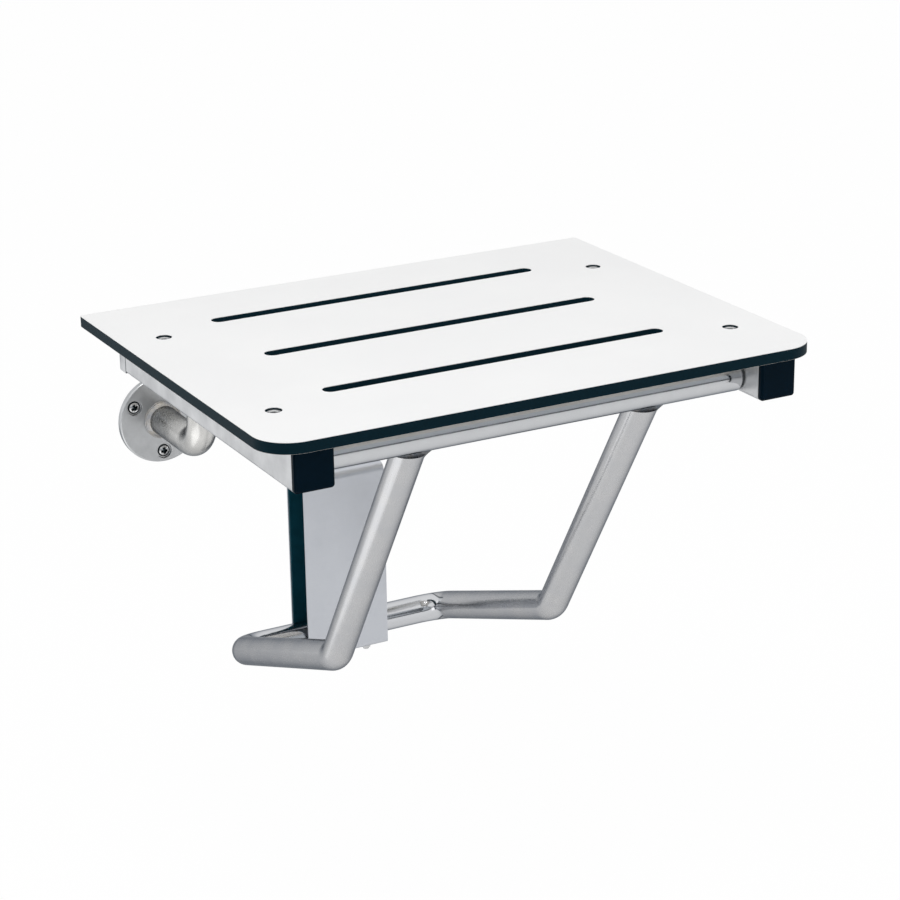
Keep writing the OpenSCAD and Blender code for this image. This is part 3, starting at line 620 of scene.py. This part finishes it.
def tube_tree():
    """Line with bend radii -> round tube with a wrapped attribute."""
    tree, give, out = new_tree("Bent tube", [
        ("Tube radius", "Float"), ("Bend steps", "Int"), ("Capped", "Bool"),
        ("Material", "Material")])
    line = add(tree, "GeometryNodeMeshToCurve")
    bends = add(tree, "GeometryNodeFilletCurve", mode="POLY")
    tree.links.new(give["Bend steps"], bends.inputs["Count"])
    tree.links.new(read_attribute(tree, "bend_radius"), bends.inputs["Radius"])
    run = store_attribute(tree, "run",
                          add(tree, "GeometryNodeSplineParameter").outputs["Length"])
    centre = chain(tree, give["Geometry"], line, bends, run)

    ring = add(tree, "GeometryNodeCurvePrimitiveCircle")
    ring.inputs["Resolution"].default_value = ROUND_STEPS
    tree.links.new(give["Tube radius"], ring.inputs["Radius"])
    around = store_attribute(tree, "around", add(tree, "GeometryNodeInputPosition").outputs[0],
                             "FLOAT_VECTOR")
    profile = chain(tree, ring.outputs[0], around)

    sweep = add(tree, "GeometryNodeCurveToMesh")
    tree.links.new(profile, sweep.inputs["Profile Curve"])
    tree.links.new(give["Capped"], sweep.inputs["Fill Caps"])
    turn = coordinates(tree, read_attribute(tree, "around", "FLOAT_VECTOR"))
    wrap = add(tree, "ShaderNodeCombineXYZ")
    tree.links.new(turn["X"], wrap.inputs["X"])
    tree.links.new(turn["Y"], wrap.inputs["Y"])
    tree.links.new(read_attribute(tree, "run"), wrap.inputs["Z"])
    skin = store_attribute(tree, "skin", wrap.outputs[0], "FLOAT_VECTOR")
    finish_tree(tree, chain(tree, centre, sweep, skin,
                            add(tree, "GeometryNodeSetShadeSmooth")), give, out)
    return tree


TUBE_TREE = tube_tree()

# %% [markdown]
# ## Leg tube
# One tube makes both legs and the bar between them. The legs' tops are cut level, and a weld
# closes them under the crossbar, so the sweep runs a little too far up and a plane trims it.

# %% Leg tube
TUBE_RADIUS = 0.0127
LEG_X = 0.1015
TOP_YZ, KNEE_YZ, REAR_YZ = (-0.367, 0.23875), (-0.223, 0.0063), (-0.019, -0.0693)
KNEE_BEND, REAR_BEND = 0.024, 0.025
LEG_CUT = 0.22325


def leg_points():
    """Corner points of the tube, from the left top to the right top."""
    left = [(-LEG_X, *yz) for yz in (TOP_YZ, KNEE_YZ, REAR_YZ)]
    return left + [(LEG_X, *yz) for yz in (REAR_YZ, KNEE_YZ, TOP_YZ)]


def trim_above(piece, height):
    """Cut a closed mesh level at a height, and close the cut."""
    bm = bmesh.new()
    bm.from_mesh(piece.data)
    everything = bm.verts[:] + bm.edges[:] + bm.faces[:]
    cut = bmesh.ops.bisect_plane(bm, geom=everything, plane_co=(0, 0, height),
                                 plane_no=(0, 0, 1), clear_outer=True)["geom_cut"]
    rim = [e for e in cut if isinstance(e, bmesh.types.BMEdge)]
    bmesh.ops.contextual_create(bm, geom=rim)
    bm.to_mesh(piece.data)
    bm.free()


leg = run_tree(new_piece("leg_tube_dressed", path_mesh(
    "leg_line", leg_points(), [0, KNEE_BEND, REAR_BEND, REAR_BEND, KNEE_BEND, 0])),
    TUBE_TREE, tube_radius=TUBE_RADIUS, bend_steps=20, capped=True, material=LEG_STEEL)
trim_above(leg, LEG_CUT)
leg.data.set_sharp_from_angle(angle=math.radians(35))
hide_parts("leg_tube")
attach(leg, "leg_frame")
print("leg tube:", len(leg.data.polygons), "faces")

# %% [markdown]
# ## Crossbar
# The crossbar is the same tube, straight between the rails. It stays a node in the CAD for its
# collisions, and the swept one takes its place to the eye.

# %% Crossbar
bar_lo, bar_hi = corners_of("crossbar")
bar_y, bar_z = (bar_lo.y + bar_hi.y) / 2, (bar_lo.z + bar_hi.z) / 2
crossbar = run_tree(new_piece("crossbar_dressed", path_mesh(
    "bar_line", [(bar_lo.x, bar_y, bar_z), (bar_hi.x, bar_y, bar_z)])),
    TUBE_TREE, tube_radius=TUBE_RADIUS, bend_steps=2, capped=True, material=BAR_STEEL)
soften(crossbar, 0.0006)
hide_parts("crossbar")
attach(crossbar, "seat")
print("crossbar:", round((bar_hi.x - bar_lo.x) * 1000, 1), "mm long")

# %% [markdown]
# ## Welds at the leg tops
# Each leg's top is closed by a weld plate that lies along the underside of the crossbar, with a
# wing that runs out on the right, as in the photo. It is lofted from rings: narrow where it
# leaves the tube, wide and thin under the bar, with a flank that curves in as a weld's does. On
# the left the rings stay just inside the tube.

# %% Leg welds
WELD_TOP, WELD_LOW = 0.22575, 0.21875
WELD_RINGS, WELD_STEPS = 14, 96
WELD_INSET, WELD_REACH, WELD_DEEP, WELD_TIP = 0.0016, 0.0090, 0.0069, 0.0019
WELD_Y = -0.362
FLANK_CURVE = 1.5
FULL_DEPTH_SHARE = 0.8


def angles_round(steps):
    """Angles all the way round, in equal steps."""
    return [2 * math.pi * i / steps for i in range(steps)]


def mesh_from(bm, name):
    """Turn a bmesh into a mesh with a name, and free the bmesh."""
    mesh = bpy.data.meshes.new(name)
    bm.to_mesh(mesh)
    bm.free()
    return mesh


def loft(bm, rings):
    """Faces between rings of the same number of points, with both ends closed."""
    made = [[bm.verts.new(p) for p in ring] for ring in rings]
    count = len(made[0])
    for low, high in zip(made, made[1:]):
        for i in range(count):
            j = (i + 1) % count
            bm.faces.new((low[i], low[j], high[j], high[i]))
    bm.faces.new(reversed(made[0]))
    bm.faces.new(made[-1])


def leg_centre(z):
    """Depth of a leg's middle line at a height."""
    return TOP_YZ[0] + (TOP_YZ[1] - z) * (KNEE_YZ[0] - TOP_YZ[0]) / (TOP_YZ[1] - KNEE_YZ[1])


def weld_rings(side):
    """Rings of one leg's weld: a wing on the right, kept inside the tube on the left."""
    full_half = TUBE_RADIUS * FULL_DEPTH_SHARE
    rings = []
    for k in range(WELD_RINGS + 1):
        share = k / WELD_RINGS
        z = WELD_LOW + (WELD_TOP - WELD_LOW) * share
        back = leg_centre(min(z, LEG_CUT)) - leg_centre(LEG_CUT)
        ring = []
        for a in angles_round(WELD_STEPS):
            wing = WELD_REACH if math.cos(a) > 0 else 0.0
            grow = wing * share ** FLANK_CURVE if wing else -WELD_INSET
            x = (TUBE_RADIUS + grow) * math.cos(a)
            past = max(0.0, abs(x) - full_half) / (wing + TUBE_RADIUS - full_half)
            deep = WELD_DEEP + (WELD_TIP - WELD_DEEP) * min(1.0, past)
            ring.append((side * LEG_X + x, WELD_Y + back + deep * math.sin(a), z))
        rings.append(ring)
    return rings


bm = bmesh.new()
for side in (-1, 1):
    loft(bm, weld_rings(side))
mesh = mesh_from(bm, "leg_welds_dressed")
# This dark weld finish partly stands in as painted shade under the crossbar.
mesh.materials.append(SHADED_WELD)
mesh.shade_smooth()
mesh.set_sharp_from_angle(angle=math.radians(40))
leg_welds = new_piece("leg_welds_dressed", mesh)
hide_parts("leg_welds")
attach(leg_welds, "leg_frame")
print("leg welds:", len(mesh.polygons), "faces")

# %% [markdown]
# ## Weld beads
# The weld between a wall arm and its flange is ground to a cone, and only the foot of its last
# bead still shows as a low ring, with one ripple for every drop of metal. A bead follows a path,
# so a tree sweeps it and makes it swell at each ripple.

# %% Bead tree
STEP_SHARE = 0.25
LUMP_SCALE = 600.0


def bead_tree():
    """Line -> weld bead with ripples and a little noise."""
    tree, give, out = new_tree("Weld bead", [
        ("Bead radius", "Float"), ("Ripple pitch", "Float"), ("Ripple", "Float"),
        ("Lumps", "Float"), ("Material", "Material")])
    line = add(tree, "GeometryNodeMeshToCurve")
    fine = add(tree, "GeometryNodeResampleCurve", mode="LENGTH")
    tree.links.new(math_node(tree, "MULTIPLY", give["Ripple pitch"], STEP_SHARE),
                   fine.inputs["Length"])
    turns = math_node(tree, "DIVIDE",
                      add(tree, "GeometryNodeSplineParameter").outputs["Length"],
                      give["Ripple pitch"])
    wave = math_node(tree, "SINE", math_node(tree, "MULTIPLY", turns, 2 * math.pi))
    swell = math_node(tree, "ADD", math_node(tree, "MULTIPLY", wave, give["Ripple"]), 1)
    ring = add(tree, "GeometryNodeCurvePrimitiveCircle")
    ring.inputs["Resolution"].default_value = 16
    tree.links.new(give["Bead radius"], ring.inputs["Radius"])
    sweep = add(tree, "GeometryNodeCurveToMesh")
    tree.links.new(ring.outputs[0], sweep.inputs["Profile Curve"])
    tree.links.new(swell, sweep.inputs["Scale"])
    lumps = add(tree, "ShaderNodeTexNoise", Scale=LUMP_SCALE, Detail=2.0)
    centred = math_node(tree, "SUBTRACT", lumps.outputs["Fac"], 0.5)
    push = add(tree, "ShaderNodeVectorMath", operation="SCALE")
    tree.links.new(add(tree, "GeometryNodeInputNormal").outputs[0], push.inputs[0])
    tree.links.new(math_node(tree, "MULTIPLY", centred, give["Lumps"]), push.inputs["Scale"])
    shift = add(tree, "GeometryNodeSetPosition")
    tree.links.new(push.outputs[0], shift.inputs["Offset"])
    finish_tree(tree, chain(tree, give["Geometry"], line, fine, sweep, shift,
                            add(tree, "GeometryNodeSetShadeSmooth")), give, out)
    return tree


BEAD_TREE = bead_tree()

# %% Arm welds
BEAD_RADIUS, BEAD_LAP, BEAD_POINTS = 0.0009, 0.0004, 96
for word in ("left", "right"):
    lo, hi = corners_of("arm_weld_" + word)
    middle = (lo + hi) / 2
    ring_radius = (hi.x - lo.x) / 2 - BEAD_RADIUS
    circle = [(middle.x + ring_radius * math.cos(a), hi.y - BEAD_LAP,
               middle.z + ring_radius * math.sin(a)) for a in angles_round(BEAD_POINTS)]
    bead = run_tree(new_piece("arm_bead_" + word, path_mesh("bead_line", circle, closed=True)),
                    BEAD_TREE, bead_radius=BEAD_RADIUS, ripple_pitch=0.0022, ripple=0.09,
                    lumps=0.0003, material=GROUND_WELD)
    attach(bead, "wall_bracket")
print("arm beads: radius", round(ring_radius * 1000, 2), "mm")

# %% [markdown]
# ## Screws
# One screw is modelled once, as rings of points round its axis, and a tree sets a copy on every
# point of a pattern. Each copy is turned about its own axis by a random angle, as real screws
# stop where they bite; the seed is fixed, so they stop at the same angle every time.

# %% Screw tree
def screw_tree():
    """Points -> a screw on each, tilted to its axis and turned about it."""
    tree, give, out = new_tree("Set of screws", [
        ("Screw", "Object"), ("Tilt", "Rotation"), ("Seed", "Int"), ("Material", "Material")])
    model = add(tree, "GeometryNodeObjectInfo", transform_space="ORIGINAL")
    tree.links.new(give["Screw"], model.inputs["Object"])
    spin = add(tree, "FunctionNodeRandomValue", data_type="FLOAT")
    low, high = [s for s in spin.inputs if s.name in ("Min", "Max") and s.type == "VALUE"
                 and s.enabled][:2]
    low.default_value, high.default_value = 0.0, 2 * math.pi
    tree.links.new(give["Seed"], spin.inputs["Seed"])
    own_turn = add(tree, "FunctionNodeAxisAngleToRotation")
    own_turn.inputs["Axis"].default_value = (0, 0, 1)
    tree.links.new(next(s for s in spin.outputs if s.enabled), own_turn.inputs["Angle"])
    both = add(tree, "FunctionNodeRotateRotation", rotation_space="LOCAL")
    tree.links.new(give["Tilt"], both.inputs["Rotation"])
    tree.links.new(own_turn.outputs[0], both.inputs["Rotate By"])
    place = add(tree, "GeometryNodeInstanceOnPoints")
    tree.links.new(model.outputs["Geometry"], place.inputs["Instance"])
    tree.links.new(both.outputs[0], place.inputs["Rotation"])
    finish_tree(tree, chain(tree, give["Geometry"], place), give, out)
    return tree


SCREW_TREE = screw_tree()


def set_screws(name, model, places, tilt, seed):
    """Copies of a screw on a list of places, as one plain mesh."""
    mesh = bpy.data.meshes.new(name)
    mesh.from_pydata(places, [], [])
    return run_tree(new_piece(name, mesh), SCREW_TREE, screw=model, tilt=tilt, seed=seed,
                    material=FASTENER)


def screw_model(name, rings):
    """A screw as a loft of rings, for the tree to copy."""
    bm = bmesh.new()
    loft(bm, rings)
    bmesh.ops.recalc_face_normals(bm, faces=bm.faces)
    mesh = mesh_from(bm, name)
    mesh.shade_smooth()
    mesh.set_sharp_from_angle(angle=math.radians(30))
    return new_piece(name, mesh)


def circle_ring(radius, z, steps=72):
    """A round ring about the screw's axis."""
    return [(radius * math.cos(a), radius * math.sin(a), z) for a in angles_round(steps)]


def hex_ring(flats, z, steps=72):
    """A six-sided ring with the same number of points, measured across its flats."""
    ring = []
    for a in angles_round(steps):
        off = (a + math.pi / 6) % (math.pi / 3) - math.pi / 6
        reach = flats / 2 / math.cos(off)
        ring.append((reach * math.cos(a), reach * math.sin(a), z))
    return ring


# %% [markdown]
# The board screws are countersunk, with a hex socket and a head that lies a little below the
# board, so the black core shows as a crescent behind each head.
# The cone's rim has a narrow flat, and the socket is countersunk too, which is what catches the
# light round its dark middle.

# %% Board screws
HEAD_RADIUS, HEAD_DROP, SHANK_RADIUS, SCREW_LONG = 0.0063, 0.0014, 0.003, 0.0166
SOCKET_FLATS, SOCKET_DEEP = 0.005, 0.0026
SHANK_TIP_RADIUS, SHANK_TIP_HIGH = 0.0024, 0.0006
RIM_FLAT, RIM_BREAK = 0.0005, 0.0002
SINK_OUTER, SINK_INNER, SINK_STEP, SINK_DEEP = 0.0037, 0.0035, 0.0001, 0.0005
POINT_SHARE, POINT_DEEP = 0.1, 0.0008

board_screw = screw_model("board_screw_model", [
    circle_ring(SHANK_TIP_RADIUS, -SCREW_LONG),
    circle_ring(SHANK_RADIUS, -SCREW_LONG + SHANK_TIP_HIGH),
    circle_ring(SHANK_RADIUS, -(HEAD_RADIUS - SHANK_RADIUS) - RIM_FLAT),
    circle_ring(HEAD_RADIUS, -RIM_FLAT), circle_ring(HEAD_RADIUS, -RIM_BREAK),
    circle_ring(HEAD_RADIUS - RIM_BREAK, 0.0),
    circle_ring(SINK_OUTER, 0.0), circle_ring(SINK_INNER, -SINK_STEP),
    hex_ring(SOCKET_FLATS, -SINK_DEEP), hex_ring(SOCKET_FLATS, -SOCKET_DEEP),
    hex_ring(SOCKET_FLATS * POINT_SHARE, -SOCKET_DEEP - POINT_DEEP)])
places = [(x, y, BOARD_HI.z - HEAD_DROP) for x, y in screw_places]
seat_screws = set_screws("seat_screws_dressed", board_screw, places, (0, 0, 0), 3)
bpy.data.objects.remove(board_screw)
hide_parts("seat_screws")
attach(seat_screws, "seat")
print("board screws:", len(seat_screws.data.polygons), "faces")

# %% [markdown]
# A flange screw has a domed head with a cross recess. The dome is a height over a fine round
# grid, and the recess is taken off that height with soft sides, so it looks pressed in.

# %% Flange screws
DOME_RADIUS, DOME_HIGH, DOME_STEPS, DOME_RIM = 0.0055, 0.0032, 26, 0.0002
DOME_MIDDLE = 1e-5
CROSS_HALF, CROSS_REACH, CROSS_DEEP = 0.0008, 0.0034, 0.0025
WALL_SLOPE, END_SHARE, CORE_SHARES = 1.6, 0.55, (1.2, 2.4)
NECK_RADIUS, THREAD_RADIUS, THREAD_PITCH = 0.0027, 0.003, 0.0016
THREAD_ROOT_SHARE, THREAD_TAPER, TAPER_SHARE, THREAD_POINT = 0.82, 0.006, 0.3, 0.0006
FINE_STEPS = 96


def ease(value, low, high):
    """A soft step from 0 at low to 1 at high."""
    t = min(1, max(0, (value - low) / (high - low)))
    return t * t * (3 - 2 * t)


def cross_depth(x, y):
    """How deep the cross recess is at a place on the head."""
    deep = 0
    for along, across in ((x, y), (y, x)):
        reach = abs(along) / CROSS_REACH
        wall = 1 - ease(abs(across), CROSS_HALF, CROSS_HALF * WALL_SLOPE)
        deep = max(deep, wall * (1 - ease(reach, END_SHARE, 1.0)))
    core = 1 - ease(math.hypot(x, y), *(CROSS_HALF * share for share in CORE_SHARES))
    return CROSS_DEEP * max(deep, core)


def dome_rings():
    """Rings of a domed head from its rim to its middle."""
    ball = (DOME_RADIUS ** 2 + DOME_HIGH ** 2) / (2 * DOME_HIGH)
    rings = []
    for k in range(DOME_STEPS):
        radius = DOME_RADIUS * (1 - k / DOME_STEPS) + DOME_MIDDLE
        top = math.sqrt(ball ** 2 - radius ** 2) - (ball - DOME_HIGH)
        rings.append([(x, y, z - cross_depth(x, y)) for x, y, z
                      in circle_ring(radius, max(top, DOME_RIM), FINE_STEPS)])
    return rings


def thread_rings(start, end):
    """Rings of a threaded shank from its tip up: every second ring stands out."""
    rings = [circle_ring(THREAD_POINT, end, FINE_STEPS)]
    count = int((start - end) / THREAD_PITCH * 2)
    for k in range(1, count):
        z = end + (start - end) * k / count
        full = THREAD_RADIUS * min(1, TAPER_SHARE + (1 - TAPER_SHARE) * (z - end) / THREAD_TAPER)
        rings.append(circle_ring(full * (1.0 if k % 2 else THREAD_ROOT_SHARE), z, FINE_STEPS))
    return rings


flange_lo, flange_hi = corners_of("wall_flange_right")
screw_lo, screw_hi = corners_of("flange_screws_right")
HEAD_SEAT = -screw_lo.y - DOME_HIGH
flange_screw = screw_model("flange_screw_model",
                           thread_rings(-HEAD_SEAT, -HEAD_SEAT - screw_hi.y)
                           + [circle_ring(NECK_RADIUS, -HEAD_SEAT, FINE_STEPS),
                              circle_ring(NECK_RADIUS, 0, FINE_STEPS),
                              circle_ring(DOME_RADIUS, 0, FINE_STEPS)] + dome_rings())
SCREW_CIRCLE, SCREWS_A_FLANGE = 0.0285, 3
TO_THE_ROOM = (math.pi / 2, 0, 0)
for side, word, seed in ((-1, "left", 12), (1, "right", 7)):
    centre = (side * (flange_lo.x + flange_hi.x) / 2, (flange_lo.z + flange_hi.z) / 2)
    places = [(centre[0] + SCREW_CIRCLE * math.cos(a), -HEAD_SEAT,
               centre[1] + SCREW_CIRCLE * math.sin(a))
              for a in (turned - math.pi / 2 for turned in angles_round(SCREWS_A_FLANGE))]
    screws = set_screws("flange_screws_dressed_" + word, flange_screw, places, TO_THE_ROOM, seed)
    screws.data.materials.clear()
    screws.data.materials.append(DOMED_SCREW)
    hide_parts("flange_screws_" + word)
    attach(screws, "wall_bracket")
bpy.data.objects.remove(flange_screw)
print("flange screws:", len(screws.data.polygons), "faces a side")

# %% [markdown]
# ## Moulded and pressed pieces with broken edges
# No real edge is quite sharp, and the thin line of light along a broken edge makes a small part
# look solid. These pieces keep their CAD form: a copy is merged into one skin, its sharp
# edges get a small bevel, and it takes the node's place.

# %% Softened copies
SIDES = ("_left", "_right")


def merged_copy(node, name):
    """A copy of a CAD node's mesh, merged from loose triangles into one skin."""
    bm = bmesh.new()
    bm.from_mesh(NODES[node].data)
    bmesh.ops.remove_doubles(bm, verts=bm.verts, dist=SAME_PLACE)
    bmesh.ops.dissolve_limit(bm, angle_limit=math.radians(0.5), verts=bm.verts, edges=bm.edges)
    return mesh_from(bm, name)


SOFTENED_PAIRS = [
    ("front_cap", "seat", "black_plastic", CAP_PLASTIC, 0.0005),
    ("rail", "seat", "satin_steel", RAIL_STEEL, 0.0009),
    ("rail_end", "seat", "satin_steel", RAIL_STEEL, 0.0009),
    ("arm_weld", "wall_bracket", "weld", GROUND_WELD, 0.0003),
    ("hinge_barrel", "wall_bracket", "satin_steel", ARM_STEEL, 0.0005),
    ("hinge_bolt", "seat", "fastener", FASTENER, 0.0005),
    ("hinge_washer", "seat", "fastener", FASTENER, 0.0002),
    ("wall_flange", "wall_bracket", "satin_steel", FLANGE_STEEL, 0.0004),
]
SOFTENED = [(name + side, *rest) for name, *rest in SOFTENED_PAIRS for side in SIDES] + [
    ("guide_liner", "wall_bracket", "liner", LINER_PLASTIC_PAINTED_LIGHTER, 0.0004),
    ("guide_shoe", "shoe", "black_nylon", SHOE_NYLON, 0.0004),
    ("guide_lock_nuts", "wall_bracket", "fastener", FASTENER, 0.0004),
]
for node, body, finish_slot, material, width in SOFTENED:
    mesh = merged_copy(node, node + "_dressed")
    mesh.materials.clear()
    mesh.materials.append(material)
    piece = soften(new_piece(node + "_dressed", mesh), width)
    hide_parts(node)
    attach(piece, body)
print("softened copies:", len(SOFTENED))

# %% [markdown]
# ## Finishes of the other CAD nodes
# The rest of the pieces have the right shape already, so each only gets its finish. The nodes
# that a dressed piece has replaced are hidden, and take the rails' steel.

# %% Finish the CAD nodes
FINISH_OF_PAIR = {"wall_arm": ARM_STEEL, "crossbar_plug": BAR_STEEL, "hinge_boss": FASTENER,
                  "stub_bush": BUSH_NYLON, "hinge_bushes": BUSH_NYLON}
FINISH_OF_NODE = {"guide_front_plate": GUIDE_STEEL, "guide_back_plate": GUIDE_STEEL,
                  "seat_nuts": FASTENER, "guide_wall_screws": FASTENER,
                  "guide_lock_screws": FASTENER}
FINISH_OF_NODE.update((name + side, material) for name, material in FINISH_OF_PAIR.items()
                      for side in SIDES)
for node, cad_object in NODES.items():
    cad_object.data.materials.clear()
    cad_object.data.materials.append(FINISH_OF_NODE.get(node, RAIL_STEEL))
print("finished nodes:", len(NODES))

# %% [markdown]
# ## Floor and light
# The seat hangs on a wall in use, but it is shown alone over a pale floor. The floor and the sky
# are plain white to the camera, and softer as lamps. The steel mirrors a floor that is a little
# darker and keeps more of its shadows. A pale grey wall with a dark skirting stands far behind
# the camera, which doesn't see it. In the crossbar it mirrors as most of the darker upper band,
# and the skirting as the thin dark line below that; the band's top few pixels mirror the board's
# backing. A low lamp on the left draws the bright streak down the left leg, and a wide one by the
# floor behind it is there for the left side of the rail.

# %% Floor and sky
FLOOR_Z = -0.24
FLOOR_SIZE = 12.0
CAMERA_SHARE, MIRROR_SHARE = 0.98, 0.72
WHITE, FLOOR_WHITE = (1, 1, 1, 1), (0.9, 0.9, 0.9, 1)
SKY_LIGHT = 0.6


def seen_share(tree, to_camera, in_mirrors):
    """One share for camera rays, one for mirror and glass rays, and nothing for the rest."""
    rays = add(tree, "ShaderNodeLightPath")
    mirrors = math_node(tree, "MAXIMUM", rays.outputs["Is Glossy Ray"],
                        rays.outputs["Is Transmission Ray"])
    return math_node(tree, "MAXIMUM",
                     math_node(tree, "MULTIPLY", rays.outputs["Is Camera Ray"], to_camera),
                     math_node(tree, "MULTIPLY", mirrors, in_mirrors))


half = FLOOR_SIZE / 2
mesh = bpy.data.meshes.new("floor")
mesh.from_pydata([(-half, -half, FLOOR_Z), (half, -half, FLOOR_Z), (half, half, FLOOR_Z),
                  (-half, half, FLOOR_Z)], [], [(0, 1, 2, 3)])
floor = new_piece("floor", mesh)
material = bpy.data.materials.new("floor, pale")
material.use_nodes = True
tree = material.node_tree
tree.nodes.clear()
mix = add(tree, "ShaderNodeMixShader")
tree.links.new(seen_share(tree, CAMERA_SHARE, MIRROR_SHARE), mix.inputs[0])
tree.links.new(add(tree, "ShaderNodeBsdfDiffuse", Color=FLOOR_WHITE).outputs[0],
               mix.inputs[1])
tree.links.new(add(tree, "ShaderNodeEmission", Color=WHITE).outputs[0], mix.inputs[2])
tree.links.new(mix.outputs[0], add(tree, "ShaderNodeOutputMaterial").inputs[0])
mesh.materials.append(material)

sky = bpy.data.worlds.new("sky")
SCENE.world = sky
sky.use_nodes = True
tree = sky.node_tree
background = tree.nodes["Background"]
background.inputs["Color"].default_value = WHITE
tree.links.new(math_node(tree, "MAXIMUM", seen_share(tree, 1.0, 1.0), SKY_LIGHT),
               background.inputs["Strength"])
print("floor at", FLOOR_Z)

# %% Room wall
WALL_Y, WALL_HALF, WALL_HIGH, SKIRTING_HIGH = -3.4, 14.0, 2.6, 0.5
SKIRTING_GREY, WALL_GREY = (0.24, 0.25, 0.27), (0.74, 0.78, 0.82)

levels = [FLOOR_Z, FLOOR_Z + SKIRTING_HIGH, FLOOR_Z + WALL_HIGH]
mesh = bpy.data.meshes.new("room_wall")
mesh.from_pydata([(x, WALL_Y, z) for z in levels for x in (WALL_HALF, -WALL_HALF)], [],
                 [(0, 1, 3, 2), (2, 3, 5, 4)])
for name, grey in (("skirting, grey", SKIRTING_GREY), ("room wall, grey", WALL_GREY)):
    material, tree, shader, place = new_finish(name)
    shader.inputs["Base Color"].default_value = (*grey, 1)
    shader.inputs["Roughness"].default_value = 1
    mesh.materials.append(material)
mesh.polygons[1].material_index = 1
room_wall = new_piece("room_wall", mesh)
room_wall.visible_camera = False
print("room wall at y", WALL_Y)

# %% Lamps
LOOK_AT = Vector((0, -0.2, 0.1))


def soft_lamp(name, place, size, power):
    """A square lamp that faces the seat."""
    light = bpy.data.lights.new(name, "AREA")
    light.energy = power
    light.size = size
    lamp = bpy.data.objects.new(name, light)
    SCENE.collection.objects.link(lamp)
    lamp.location = place
    lamp.visible_camera = False
    lamp.rotation_euler = (LOOK_AT - lamp.location).to_track_quat("-Z", "Y").to_euler()
    return lamp


soft_lamp("key", (-0.6, -0.9, 2.4), 0.9, 23.5)
soft_lamp("fill", (1.8, -1.0, 1.0), 1.6, 6)
soft_lamp("low", (-0.42, -0.15, -0.2), 0.42, 0.32)
soft_lamp("side", (-0.9, 0.7, FLOOR_Z + 0.1), 0.9, 0.6)
print("lamps set")
